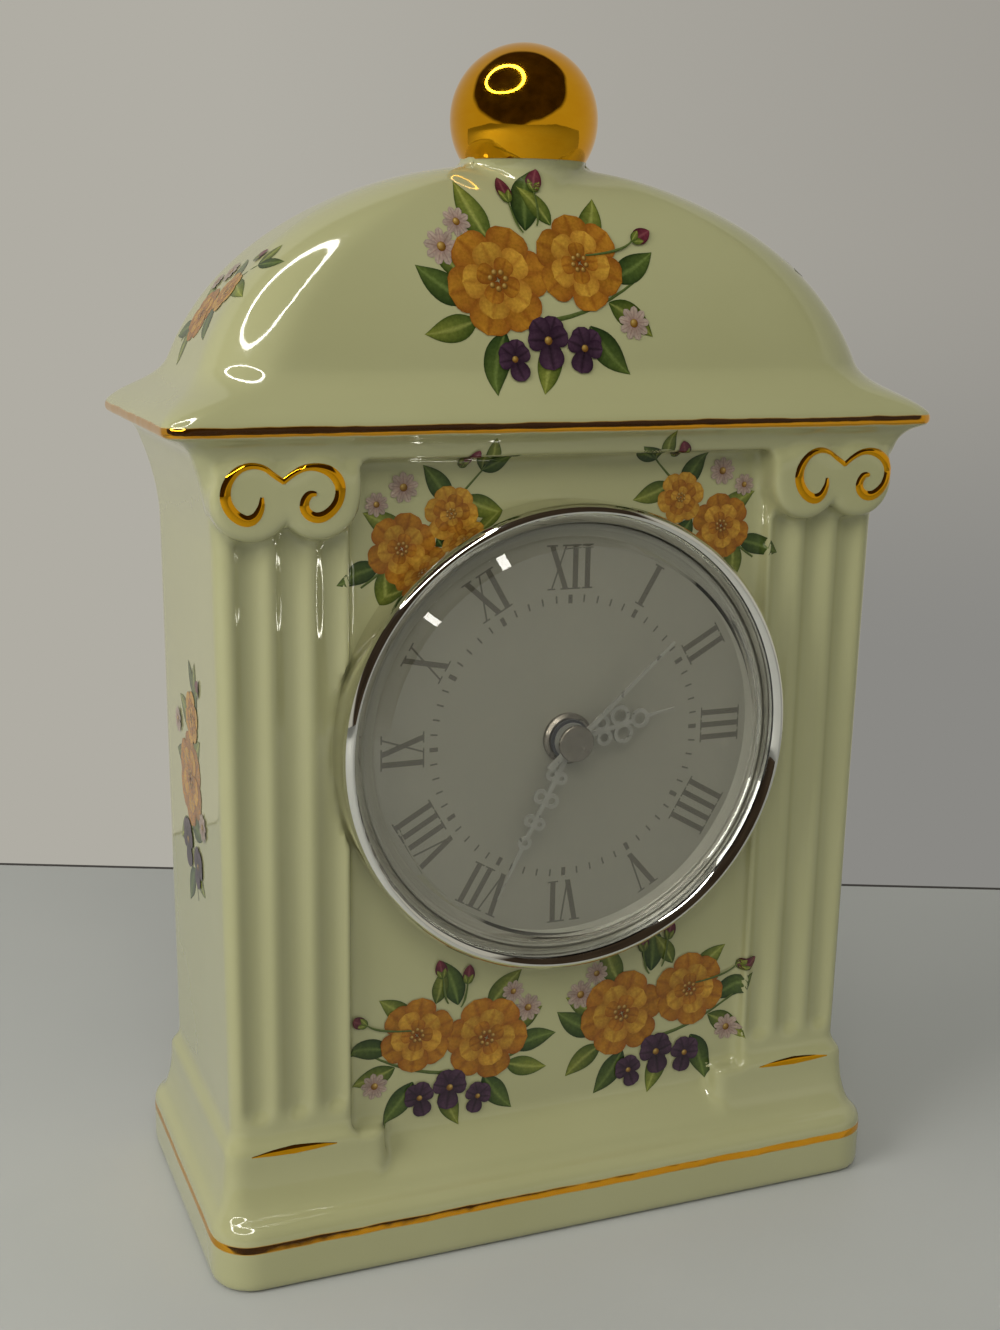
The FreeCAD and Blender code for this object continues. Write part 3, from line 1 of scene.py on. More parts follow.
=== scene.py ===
# %% [markdown]
# # A porcelain mantel clock
# The clock is one hollow porcelain casting, glazed, gilded along its edges and painted with flowers. A
# round insert with a battery movement is pushed into its front. The exact model comes from CAD as a fixed
# frame, so this script only dresses it. Sizes here are real millimetres, and -Y is the front.

# %% Load the CAD frame
import math
import random

import bmesh
import bpy
import numpy as np
from mathutils import Matrix, Vector
from mathutils.bvhtree import BVHTree


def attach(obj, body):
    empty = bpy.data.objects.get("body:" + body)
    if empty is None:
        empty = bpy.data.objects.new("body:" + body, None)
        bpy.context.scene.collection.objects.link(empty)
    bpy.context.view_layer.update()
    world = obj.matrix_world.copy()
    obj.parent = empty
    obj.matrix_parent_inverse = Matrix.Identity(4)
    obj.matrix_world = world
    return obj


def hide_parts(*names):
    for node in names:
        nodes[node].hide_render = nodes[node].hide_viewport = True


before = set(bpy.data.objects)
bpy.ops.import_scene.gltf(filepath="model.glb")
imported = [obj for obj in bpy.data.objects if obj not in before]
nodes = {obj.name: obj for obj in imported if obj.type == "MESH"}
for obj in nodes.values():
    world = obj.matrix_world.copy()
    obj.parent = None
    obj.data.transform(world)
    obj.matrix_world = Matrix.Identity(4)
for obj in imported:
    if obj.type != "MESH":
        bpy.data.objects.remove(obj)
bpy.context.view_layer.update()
MM = 0.001
AXIS_HIGH = 99.0

# %% [markdown]
# ## Helpers for colour and nodes
# Colours are easiest to judge as the hex values a paint programme shows, but a shader needs linear light,
# so one function converts them. A second adds any node with its settings and its links in one line. Five
# short ones build on it for what every material needs: a sum, a noise, its spread over a range, a mix of
# two colours and a relief.


# %% Colour and node helpers
NOISE_LOW, NOISE_HIGH = 0.3, 0.7


def srgb(hex_text):
    """An sRGB hex colour as linear red, green, blue and full cover."""
    parts = [int(hex_text[start:start + 2], 16) / 255 for start in (1, 3, 5)]
    return tuple(p / 12.92 if p <= 0.04045 else ((p + 0.055) / 1.055) ** 2.4 for p in parts) + (1.0,)


def add_node(tree, kind, settings=None, inputs=None):
    """Adds a node. An input is given a value, or another node's output to link to."""
    node = tree.nodes.new(kind)
    for name, value in (settings or {}).items():
        setattr(node, name, value)
    for name, value in (inputs or {}).items():
        if isinstance(value, bpy.types.NodeSocket):
            tree.links.new(value, node.inputs[name])
        else:
            node.inputs[name].default_value = value
    return node


def maths(tree, operation, *values):
    """The result of one operation on numbers or outputs."""
    return add_node(tree, "ShaderNodeMath", {"operation": operation}, dict(enumerate(values))).outputs[0]


def noise_in(tree, place, size_mm, detail=2.0):
    """A noise in space with patches of about this size."""
    return add_node(tree, "ShaderNodeTexNoise", {}, {
        "Vector": place, "Scale": 1 / (size_mm * MM), "Detail": detail}).outputs["Fac"]


def spread(tree, noise, low, high):
    """The middle of a noise's range, where most of it lies, spread from low to high."""
    return add_node(tree, "ShaderNodeMapRange", {}, {
        "Value": noise, "From Min": NOISE_LOW, "From Max": NOISE_HIGH,
        "To Min": low, "To Max": high}).outputs[0]


def mix_colours(tree, share, *ends):
    """A colour between two, each given as a hex text or an output."""
    first, second = (srgb(end) if isinstance(end, str) else end for end in ends)
    return add_node(tree, "ShaderNodeMix", {"data_type": "RGBA"}, {0: share, 6: first, 7: second}).outputs[2]


def relief_from(tree, height, strength, deep_mm):
    """A relief in the shading from an output that gives the height."""
    return add_node(tree, "ShaderNodeBump", {}, {
        "Height": height, "Strength": strength, "Distance": deep_mm * MM}).outputs[0]


def new_material(name, colour, values):
    """A material, its node tree, its shader with the values on its own sockets, and each point's place."""
    material = bpy.data.materials.new(name)
    material.use_nodes = True
    shader = material.node_tree.nodes["Principled BSDF"]
    shader.inputs["Base Color"].default_value = srgb(colour)
    for socket, value in values.items():
        shader.inputs[socket].default_value = value
    place = add_node(material.node_tree, "ShaderNodeTexCoord").outputs["Object"]
    return material, material.node_tree, shader, place


def plug_in(tree, shader, outputs):
    """Links outputs to the shader's sockets of these names."""
    for socket, output in outputs.items():
        tree.links.new(output, shader.inputs[socket])


def grained(name, colour, values, size_mm, colours, roughness, bump_mm, stretch=(1, 1, 1)):
    """A material whose one noise gives two close colours, two roughnesses and a relief."""
    material, tree, shader, place = new_material(name, colour, values)
    longer = add_node(tree, "ShaderNodeMapping", {}, {"Vector": place, "Scale": stretch}).outputs["Vector"]
    noise = noise_in(tree, longer, size_mm, 3.0)
    plug_in(tree, shader, {"Base Color": mix_colours(tree, noise, *colours),
                           "Roughness": spread(tree, noise, *roughness),
                           "Normal": relief_from(tree, noise, 0.6, bump_mm)})
    return material


def dress(names, material):
    """Gives CAD nodes a material."""
    for name in names:
        nodes[name].data.materials.clear()
        nodes[name].data.materials.append(material)


print("helpers ready")

# %% [markdown]
# ## Camera
# The photograph was taken by hand from the left and a little above. Its place and focal length were worked
# out from the clock's own straight edges and circles, and the camera also leans by one degree, so its three
# axes are written as a matrix.

# %% Camera
CAMERA_AT = Vector((-127.93, -308.92, 185.12)) * MM
AZIMUTH, ELEVATION, ROLL = (math.radians(a) for a in (22.03, 13.15, 0.99))
FOCAL_PIXELS, LONG_SIDE_PIXELS, SENSOR = 1697.2, 1330, 36.0

ahead = Vector((math.sin(AZIMUTH) * math.cos(ELEVATION), math.cos(AZIMUTH) * math.cos(ELEVATION),
                -math.sin(ELEVATION)))
level = ahead.cross(Vector((0, 0, 1))).normalized()
upward = level.cross(ahead)
right = level * math.cos(ROLL) + upward * math.sin(ROLL)
top = upward * math.cos(ROLL) - level * math.sin(ROLL)

camera = bpy.data.objects.new("camera", bpy.data.cameras.new("camera"))
bpy.context.scene.collection.objects.link(camera)
camera.matrix_world = Matrix.Translation(CAMERA_AT) @ Matrix((right, top, -ahead)).transposed().to_4x4()
camera.data.sensor_width = SENSOR
camera.data.lens = FOCAL_PIXELS / LONG_SIDE_PIXELS * SENSOR
camera.data.clip_start, camera.data.clip_end = 0.01, 20.0
bpy.context.scene.camera = camera
bpy.context.scene.view_settings.view_transform = "Standard"
print("camera lens", round(camera.data.lens, 2), "mm")


# %% [markdown]
# ## Table, wall colour and light
# The clock stands on a white table whose rear edge shows as a thin dark line, with a pale grey wall beyond
# it. That line is the shade in the gap at the wall, drawn as a dark plate: a painted shadow. The table is
# a real plate, and the wall is the world's colour, so nothing stands in the way of other views. The wall's
# colour carries painted light: it is lighter on the left and darker towards the right, with a painted
# shadow of the clock low on the right. Gold, chrome and glaze show what stands round them more than their
# own colour. The gilded ball in the photograph mirrors the whole room: pale walls at the sides, a dark brown
# room behind the camera and overhead, and one ring-shaped lamp at the upper left. For mirrored rays the
# world holds the walls and the dark room, and the lamp is a glowing ring that only mirrors show. Two soft
# lamps, which no mirror shows, light the clock.


# %% Meshes from points and faces
SHARP_ANGLE = math.radians(35)


def make_piece(name, points, faces, material, smooth=True):
    """An object from points in metres and faces."""
    mesh = bpy.data.meshes.new(name)
    mesh.from_pydata([tuple(p) for p in points], [], faces)
    mesh.validate()
    made = bpy.data.objects.new(name, mesh)
    bpy.context.scene.collection.objects.link(made)
    if smooth:
        mesh.shade_smooth()
        mesh.set_sharp_from_angle(angle=SHARP_ANGLE)
    mesh.materials.append(material)
    return made


# %% Table
REAR_LEFT, REAR_RIGHT = Vector((-83.4, 217.1, 0)), Vector((203.5, 93.6, 0))
edge_way = (REAR_RIGHT - REAR_LEFT).normalized()
front_way = Vector((edge_way.y, -edge_way.x, 0))
TABLE_HALF, TABLE_DEEP, TABLE_THICK, GAP = 1500, 1350, 25, 1.9


def table_corners(back, front):
    """Eight corners of a plate along the table's rear edge, from back to front and as thick as the table."""
    middle = (REAR_LEFT + REAR_RIGHT) / 2
    flat = [middle + edge_way * side * TABLE_HALF + front_way * deep
            for side, deep in ((-1, back), (1, back), (1, front), (-1, front))]
    return [(p + Vector((0, 0, z))) * MM for z in (-TABLE_THICK, 0) for p in flat]


BOX_FACES = [(0, 3, 2, 1), (4, 5, 6, 7), (0, 1, 5, 4), (1, 2, 6, 5), (2, 3, 7, 6), (3, 0, 4, 7)]
table_paint = grained("white_lacquered_board", "#B4B5B2", {"Roughness": 0.5},
                      60.0, ("#B1B3B0", "#BBBCB8"), (0.46, 0.6), 0.02)
table = make_piece("table", table_corners(0, TABLE_DEEP), BOX_FACES, table_paint, smooth=False)

# Painted shadow: a dark plate fills the gap between the table's rear edge and the wall, where there is only
# shade.
painted_gap_shade = grained("painted_shadow_in_wall_gap", "#3A3634", {"Roughness": 0.8},
                      20.0, ("#2E2B29", "#45413E"), (0.7, 0.9), 0.05)
gap_shadow_plate = make_piece("table_gap_painted_shadow", table_corners(-GAP, 0), BOX_FACES, painted_gap_shade, smooth=False)
print("table edge runs", [round(c, 2) for c in edge_way])

# %% Wall colour, with painted light and a painted shadow
WALL_UNEVENNESS = 0.06
world = bpy.data.worlds.new("room")
bpy.context.scene.world = world
world.use_nodes = True
tree = world.node_tree
tree.nodes.clear()
rays = add_node(tree, "ShaderNodeLightPath").outputs
seen = maths(tree, "MAXIMUM", rays["Is Camera Ray"], rays["Is Transmission Ray"])
direction = add_node(tree, "ShaderNodeTexCoord").outputs["Generated"]
cloud = add_node(tree, "ShaderNodeTexNoise", {}, {
    "Vector": direction, "Scale": 1.6, "Detail": 1.0}).outputs["Fac"]
along_wall = add_node(tree, "ShaderNodeVectorMath", {"operation": "DOT_PRODUCT"}, {
    0: direction, 1: level}).outputs["Value"]
high = add_node(tree, "ShaderNodeSeparateXYZ", {}, {"Vector": direction}).outputs["Z"]
uneven = maths(tree, "MULTIPLY_ADD", cloud, WALL_UNEVENNESS, along_wall)
# Painted light: the wall is painted lighter on the left and darker towards the right, as the light falls off,
# and a noise makes that falloff uneven.
painted_falloff_share = add_node(tree, "ShaderNodeMapRange", {}, {
    "Value": uneven, "From Min": -0.12, "From Max": 0.34}).outputs[0]
wall_painted_falloff = mix_colours(tree, painted_falloff_share, "#B0ADA4", "#9C9992")
# Painted shadow: the wall is painted darker low on the right, where the clock's shadow from the left lamp
# falls.
painted_shadow_low = add_node(tree, "ShaderNodeMapRange", {"interpolation_type": "SMOOTHSTEP"}, {
    "Value": high, "From Min": 0.03, "From Max": -0.22}).outputs[0]
painted_shadow_right = add_node(tree, "ShaderNodeMapRange", {"interpolation_type": "SMOOTHSTEP"}, {
    "Value": along_wall, "From Min": 0.02, "From Max": 0.2}).outputs[0]
wall = mix_colours(tree, maths(tree, "MULTIPLY", painted_shadow_low, painted_shadow_right), wall_painted_falloff, "#8A8985")
print("wall runs along", [round(c, 2) for c in level])

# %% Mirrored room and daylight
DARK_ROOM = (-ahead * 0.74 + top * 0.66 - right * 0.12).normalized()
DARK_HALF_ANGLE, EDGE_SOFTNESS, EDGE_WAVE = math.radians(65), 0.035, 0.2
towards_room = add_node(tree, "ShaderNodeVectorMath", {"operation": "DOT_PRODUCT"}, {
    0: direction, 1: DARK_ROOM}).outputs["Value"]
wavy = maths(tree, "MULTIPLY_ADD", cloud, EDGE_WAVE, towards_room)
edge_at = math.cos(DARK_HALF_ANGLE) + EDGE_WAVE / 2
dark_share = add_node(tree, "ShaderNodeMapRange", {}, {
    "Value": wavy, "From Min": edge_at - EDGE_SOFTNESS, "From Max": edge_at + EDGE_SOFTNESS}).outputs[0]
clutter = add_node(tree, "ShaderNodeTexNoise", {}, {
    "Vector": direction, "Scale": 3.6, "Detail": 2.0}).outputs["Fac"]
room_brown = mix_colours(tree, clutter, "#15100C", "#45392C")
mirrored_colour = mix_colours(tree, dark_share, "#B4B1A6", room_brown)
wall_light = add_node(tree, "ShaderNodeBackground", {}, {"Color": wall, "Strength": 1.0}).outputs[0]
mirrored = add_node(tree, "ShaderNodeBackground", {}, {"Color": mirrored_colour, "Strength": 1.0}).outputs[0]
daylight = add_node(tree, "ShaderNodeBackground", {}, {"Color": srgb("#F4F5F0"), "Strength": 0.38}).outputs[0]
indoors = add_node(tree, "ShaderNodeMixShader", {}, {
    0: rays["Is Glossy Ray"], 1: daylight, 2: mirrored}).outputs[0]
shown = add_node(tree, "ShaderNodeMixShader", {}, {0: seen, 1: indoors, 2: wall_light}).outputs[0]
add_node(tree, "ShaderNodeOutputWorld", {}, {"Surface": shown})
print("dark room lies towards", [round(c, 2) for c in DARK_ROOM])


# %% Soft lamps
CLOCK_MIDDLE = Vector((0, 0, 120))


def window(name, at, size, power):
    """A soft rectangular lamp that faces the clock. Mirrors show the world in its place."""
    lamp = bpy.data.lights.new(name, "AREA")
    lamp.shape = "RECTANGLE"
    lamp.size, lamp.size_y = (side * MM for side in size)
    lamp.energy = power
    lamp.color = srgb("#FFFDF8")[:3]
    made = bpy.data.objects.new(name, lamp)
    bpy.context.scene.collection.objects.link(made)
    made.location = Vector(at) * MM
    made.rotation_euler = (CLOCK_MIDDLE * MM - made.location).to_track_quat("-Z", "Y").to_euler()
    made.visible_camera = made.visible_glossy = False


window("window_left", (-700, -180, 440), (420, 520), 3.7)
window("ceiling_light", (-300, -850, 900), (600, 600), 4.1)
print("lamps aim at", list(CLOCK_MIDDLE))

# %% Ring lamp
LAMP_WAY = (-ahead * 0.56 + top * 0.72 - right * 0.41).normalized()
LAMP_FAR, LAMP_RADIUS, TUBE_RADIUS = 600, 245, 16
glow, tree, shader, place = new_material("lit_lamp_tube", "#000000", {
    "Emission Strength": 20.0, "Roughness": 0.5})
flicker = add_node(tree, "ShaderNodeTexNoise", {}, {"Vector": place, "Scale": 6.0}).outputs["Fac"]
plug_in(tree, shader, {"Emission Color": mix_colours(tree, flicker, "#FFFBEA", "#FFFFFF")})
RING_STEPS, TUBE_STEPS = 96, 10
points, faces = [], []
for step in range(RING_STEPS):
    turn = 2 * math.pi * step / RING_STEPS
    out = Vector((math.cos(turn), math.sin(turn), 0))
    for spoke in range(TUBE_STEPS):
        roll = 2 * math.pi * spoke / TUBE_STEPS
        points.append((CLOCK_MIDDLE + LAMP_WAY * LAMP_FAR + Vector((0, 0, TUBE_RADIUS * math.sin(roll)))
                       + out * (LAMP_RADIUS + TUBE_RADIUS * math.cos(roll))) * MM)
        after, along = (spoke + 1) % TUBE_STEPS, (step + 1) % RING_STEPS
        faces.append((step * TUBE_STEPS + spoke, step * TUBE_STEPS + after,
                      along * TUBE_STEPS + after, along * TUBE_STEPS + spoke))
ring_lamp = make_piece("ring_lamp", points, faces, glow)
ring_lamp.visible_camera = ring_lamp.visible_diffuse = ring_lamp.visible_shadow = False
ring_lamp.visible_transmission = False
print("ring lamp at", [round(c) for c in CLOCK_MIDDLE + LAMP_WAY * LAMP_FAR])

# %% [markdown]
# ## Porcelain case
# The real case was slip cast: liquid clay poured in a plaster mould. Every edge comes out soft, and the
# glaze rounds it further. The CAD solid has the true shape with crisp edges. A voxel remesh rebuilds it as
# an even skin, and a few rounds of smoothing wear each edge down to about the real radius, which a bevel
# could not do on so many curved joints. The new skin stands for the CAD node.

# %% Soften the casting
VOXEL_MM = 0.8
SOFTENING_ROUNDS = 4
CASE_WELD_MM = 0.0005

draft = bpy.data.objects.new("porcelain_draft", nodes["case"].data.copy())
bpy.context.scene.collection.objects.link(draft)
seams = bmesh.new()
seams.from_mesh(draft.data)
bmesh.ops.remove_doubles(seams, verts=seams.verts, dist=CASE_WELD_MM * MM)
seams.to_mesh(draft.data)
seams.free()
remesh = draft.modifiers.new("even_skin", "REMESH")
remesh.mode = "VOXEL"
remesh.voxel_size = VOXEL_MM * MM
remesh.use_smooth_shade = True
soften = draft.modifiers.new("worn_edges", "SMOOTH")
soften.factor, soften.iterations = 0.5, SOFTENING_ROUNDS
ready = draft.evaluated_get(bpy.context.evaluated_depsgraph_get())
porcelain = bpy.data.objects.new("porcelain_case", bpy.data.meshes.new_from_object(ready))
bpy.context.scene.collection.objects.link(porcelain)
bpy.data.objects.remove(draft)
print("porcelain faces:", len(porcelain.data.polygons))

# %% [markdown]
# ### Glaze and gilded lines
# The glaze is a clear glass over a cream body, so it mirrors windows sharply while the colour below stays
# soft. Glaze thins on edges and gathers in hollows, and it lies in very slight waves. The gold is real
# metal painted on with a brush, so its lines waver a little. They are masks by height in the same material,
# because the metal is far thinner than anything a mesh could show. Each line lies where its edge begins to
# turn upwards, so it mirrors the dark room overhead. A relief that falls towards the top gives the film
# that lean.

# %% Glazed porcelain
glaze, tree, shader, place = new_material("glazed_porcelain", "#A9A77D", {
    "IOR": 1.5, "Coat Weight": 0.4, "Coat Roughness": 0.03})
apart = add_node(tree, "ShaderNodeSeparateXYZ", {}, {"Vector": place}).outputs
wander = noise_in(tree, place, 9.0)
BRUSH_WANDER_MM = 0.7
moved = maths(tree, "MULTIPLY_ADD", wander, BRUSH_WANDER_MM * MM, apart["Z"])


def between(value, low_mm, high_mm, soft_mm=0.12):
    """A mask that is one between two sizes, with soft ends."""
    rise = add_node(tree, "ShaderNodeMapRange", {}, {
        "Value": value, "From Min": (low_mm - soft_mm) * MM, "From Max": (low_mm + soft_mm) * MM}).outputs[0]
    fall = add_node(tree, "ShaderNodeMapRange", {}, {
        "Value": value, "From Min": (high_mm - soft_mm) * MM, "From Max": (high_mm + soft_mm) * MM,
        "To Min": 1.0, "To Max": 0.0}).outputs[0]
    return maths(tree, "MULTIPLY", rise, fall)


# %% Gilding masks
SLAB_LINE, CORNICE_LINE, END_FACES, LONG_FACES = (8.3, 9.8), (157.1, 158.8), (73.4, 90.0), (30.4, 60.0)
HALF_WANDER = BRUSH_WANDER_MM / 2
slab_line = between(moved, *(edge + HALF_WANDER for edge in SLAB_LINE))
cornice_line = between(moved, *(edge + HALF_WANDER for edge in CORNICE_LINE))
end_faces = between(maths(tree, "ABSOLUTE", apart["X"]), *END_FACES)
long_faces = between(maths(tree, "ABSOLUTE", apart["Y"]), *LONG_FACES)
cornice_line = maths(tree, "MULTIPLY", cornice_line, maths(tree, "MAXIMUM", end_faces, long_faces))
gold_mask = add_node(tree, "ShaderNodeMath", {"operation": "ADD", "use_clamp": True}, {
    0: slab_line, 1: cornice_line}).outputs[0]
print("gilding masks ready")

# %% Glaze colour, gloss and waves
cream = mix_colours(tree, noise_in(tree, place, 38.0), "#A2A174", "#ACAB82")
gold_tint = mix_colours(tree, wander, "#DA9616", "#ECAC24")
colour = mix_colours(tree, gold_mask, cream, gold_tint)
gloss = spread(tree, noise_in(tree, place, 1.5, 3.0), 0.05, 0.09)
GOLD_LEAN, BRUSH_RIPPLE, GLAZE_WAVE = -0.3, 0.3, 0.08
lean = maths(tree, "MULTIPLY", apart["Z"], GOLD_LEAN / MM)
leaning = maths(tree, "MULTIPLY_ADD", wander, BRUSH_RIPPLE, lean)
wavy_film = relief_from(tree, leaning, 1.0, 1.0)
low_waves = maths(tree, "MULTIPLY", noise_in(tree, place, 14.0, 1.0), GLAZE_WAVE)
wavy_glaze = relief_from(tree, low_waves, 0.5, 1.0)
relief = add_node(tree, "ShaderNodeMix", {"data_type": "VECTOR"}, {
    0: gold_mask, 4: wavy_glaze, 5: wavy_film}).outputs[1]
plug_in(tree, shader, {"Base Color": colour, "Metallic": gold_mask, "Roughness": gloss, "Normal": relief})

porcelain.data.materials.clear()
porcelain.data.materials.append(glaze)
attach(porcelain, "case")
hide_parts("case")
print("porcelain glazed")

# %% [markdown]
# ### Burnished gold
# The ball and the broad strokes carry bright gold: a liquid that fires to a mirror film. It shows its brush
# marks only as faint changes of gloss. The ball is turned as its own thin skin, because a mirror shows
# every unevenness of a remeshed surface.

# %% Gold film
gilding = grained("fired_bright_gold", "#EBA71A", {"Metallic": 1.0, "Roughness": 0.06},
                  5.0, ("#E59F12", "#F0B022"), (0.03, 0.08), 0.01, stretch=(1, 1, 3))
WELD_MM = 0.001


def turned(name, profile, along, material, steps=160):
    """A turned form. The profile lists (distance along the axis, radius) in millimetres.

    A level axis runs through the middle of the dial, and an upright one through the origin.
    """
    along = Vector(along)
    foot = Vector((0, 0, 0)) if along.z else Vector((0, 0, AXIS_HIGH))
    across = along.orthogonal().normalized()
    third = along.cross(across)
    points, faces = [], []
    for distance, radius in profile:
        for step in range(steps):
            turn = 2 * math.pi * step / steps
            way = across * math.cos(turn) + third * math.sin(turn)
            points.append((foot + along * distance + way * radius) * MM)
    for ring in range(len(profile) - 1):
        for step in range(steps):
            here, after = ring * steps + step, ring * steps + (step + 1) % steps
            faces.append((here, after, after + steps, here + steps))
    made = make_piece(name, points, faces, material)
    skin = bmesh.new()
    skin.from_mesh(made.data)
    bmesh.ops.remove_doubles(skin, verts=skin.verts, dist=WELD_MM * MM)
    bmesh.ops.recalc_face_normals(skin, faces=skin.faces)
    skin.to_mesh(made.data)
    skin.free()
    return made


# %% Gilded ball
BALL_HIGH, BALL_RADIUS, FILM, GOLD_ENDS, BALL_RINGS = 212.2, 13.9, 0.07, 204.8, 72
lowest = math.asin((GOLD_ENDS - BALL_HIGH) / BALL_RADIUS)
profile = [((BALL_RADIUS - FILM) * math.sin(lowest) + BALL_HIGH, (BALL_RADIUS - FILM) * math.cos(lowest))]
film_radius = BALL_RADIUS + FILM
for step in range(BALL_RINGS + 1):
    lift = lowest + (math.pi / 2 - lowest) * step / BALL_RINGS
    profile.append((BALL_HIGH + film_radius * math.sin(lift), max(film_radius * math.cos(lift), 0.0)))
ball = turned("gilded_ball", profile, (0, 0, 1), gilding)
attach(ball, "case")
print("ball top", round(max(v.co.z for v in ball.data.vertices) / MM, 2))

# %% [markdown]
# ## Painting on the porcelain
# Decoration on such a clock is printed and painted in enamel over the glaze. A picture is drawn here as
# flat patches in millimetres, like cut paper: petals, leaves, stems. Each patch is a small grid with a
# colour at every point. The grid is then dropped along one direction until it meets the porcelain, so that
# it follows each curve. Every patch lies a few thousandths of a millimetre over the one before it.


# %% Pages and patches
def new_page():
    """An empty drawing. Each patch on it lies one level above the last."""
    return {"points": [], "faces": [], "tints": [], "level": 0}


def add_patch(page, rows, tints):
    """Adds a grid of (across, up) points with a colour each."""
    first, wide = len(page["points"]), len(rows[0])
    page["level"] += 1
    for row, colours in zip(rows, tints):
        for point, tint in zip(row, colours):
            page["points"].append((point[0], point[1], page["level"]))
            page["tints"].append(tint)
    for line in range(len(rows) - 1):
        for column in range(wide - 1):
            corner = first + line * wide + column
            page["faces"].append((corner, corner + 1, corner + wide + 1, corner + wide))


FILM_MM, STEP_MM = 0.03, 0.003
porcelain_tree = BVHTree.FromObject(porcelain, bpy.context.evaluated_depsgraph_get())


def lay_on_porcelain(name, page, centre, across, up, material, crown_mm=0.0):
    """Drops a page onto the porcelain. The centre is a point in front of it."""
    centre, across, up = Vector(centre), Vector(across).normalized(), Vector(up).normalized()
    inward = up.cross(across)
    points, kept = [], set()
    for index, (u, v, layer) in enumerate(page["points"]):
        start = centre + across * u + up * v
        hit, normal, _, _ = porcelain_tree.ray_cast(start * MM, inward)
        if hit is None:
            points.append(start * MM)
            continue
        kept.add(index)
        lift = FILM_MM + STEP_MM * layer
        if crown_mm:
            lift = FILM_MM + crown_mm * page["crown"][index]
        points.append(hit + normal * lift * MM)
    faces = [face for face in page["faces"] if kept.issuperset(face)]
    facing = [Vector(points[b] - points[a]).cross(Vector(points[c] - points[b])).dot(inward) < 0
              for a, b, c, _ in faces]
    faces = [face if outward else face[::-1] for face, outward in zip(faces, facing)]
    made = make_piece(name, points, faces, material)
    paint = made.data.color_attributes.new("paint", "FLOAT_COLOR", "POINT")
    paint.data.foreach_set("color", np.array(page["tints"], np.float32).ravel())
    loose = bmesh.new()
    loose.from_mesh(made.data)
    bmesh.ops.delete(loose, geom=[v for v in loose.verts if not v.link_faces], context="VERTS")
    loose.to_mesh(made.data)
    loose.free()
    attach(made, "case")
    print(name, "faces:", len(made.data.polygons))


# %% Brush strokes
STROKE_COLUMNS = (-1.0, -0.6, 0.0, 0.6, 1.0)


def blend_tint(one, other, share):
    """One colour, moved towards the other by a share."""
    return tuple(a + (b - a) * share for a, b in zip(one, other))


def stroke(page, path, widths, tints, crown=False):
    """A ribbon along a path. The widths are spread evenly over its length."""
    rows, colours = [], []
    for step, point in enumerate(path):
        share = step / (len(path) - 1)
        before, after = path[max(step - 1, 0)], path[min(step + 1, len(path) - 1)]
        way = Vector((after[0] - before[0], after[1] - before[1])).normalized()
        side = Vector((-way.y, way.x))
        wide = np.interp(share, np.linspace(0, 1, len(widths)), widths)
        rows.append([(point[0] + side.x * wide / 2 * j, point[1] + side.y * wide / 2 * j)
                     for j in STROKE_COLUMNS])
        colours.append([blend_tint(tints[0], tints[1], (j + 1) / 2) for j in STROKE_COLUMNS])
        if crown:
            swell = math.sin(math.pi * min(max(share, 0.04), 0.96)) ** 0.3
            page.setdefault("crown", []).extend((1 - j * j) * swell for j in STROKE_COLUMNS)
    add_patch(page, rows, colours)


def smooth_path(points, steps=5):
    """A curve that passes through every point."""
    path = []
    for index in range(len(points) - 1):
        a, b, c, d = (points[min(max(index + shift, 0), len(points) - 1)] for shift in (-1, 0, 1, 2))
        for step in range(steps):
            t = step / steps
            path.append(tuple(0.5 * (2 * q + (r - p) * t + (2 * p - 5 * q + 4 * r - s) * t * t
                                     + (3 * q - p - 3 * r + s) * t ** 3) for p, q, r, s in zip(a, b, c, d)))
    return path + [points[-1]]


print("brushes ready")

# %% [markdown]
# ### Gilded scrolls
# Each capital carries two scrolls drawn in gold: an open curl on the left and a tighter one on the right.
# They are ribbons with a slightly raised middle, as the gold follows a fine ridge in the casting. A short
# stroke of gold also marks the rounded top of each pedestal.

# %% Scrolls and pedestal strokes
FRONT_START, SIDE_START = -80, 120
ACROSS_FRONT, STRAIGHT_UP = (1, 0, 0), (0, 0, 1)
OPEN_CURL = ((0.1, 2.4), (-1.6, 3.6), (-3.3, 4.85), (-5.4, 5.3), (-7.5, 4.75), (-9.1, 3.3), (-9.95, 1.4),
             (-9.9, -0.65), (-8.9, -2.5), (-7.45, -3.65), (-6.05, -3.95), (-4.75, -3.2), (-3.95, -1.6),
             (-3.8, 0.0))
TIGHT_CURL = ((-0.1, 2.4), (1.6, 3.7), (3.7, 4.7), (5.9, 4.8), (8.0, 4.1), (9.4, 2.75), (9.95, 1.0),
              (9.55, -1.1), (8.3, -2.75), (6.55, -3.75), (4.8, -3.55), (3.7, -2.4), (3.65, -0.95),
              (4.5, 0.2), (5.7, 0.3))
OPEN_WIDTHS = (0.9, 0.9, 1.0, 1.2, 1.6, 1.9, 2.0, 2.0, 1.9, 1.4, 0.6)
TIGHT_WIDTHS = (0.9, 1.0, 1.2, 1.8, 2.0, 1.8, 1.8, 1.9, 1.8, 1.7, 1.5, 0.7)
SCROLL_PLACES = (("left", -55.0, 146.9), ("right", 56.0, 147.0))
PEDESTAL_OUT, PEDESTAL_START, PEDESTAL_HIGH, PEDESTAL_UP = 53.9, -81.3, 51.5, (0, 0.46, 0.89)
STROKE_LONG, STROKE_BOW, STEPS = 16.4, 0.25, 24

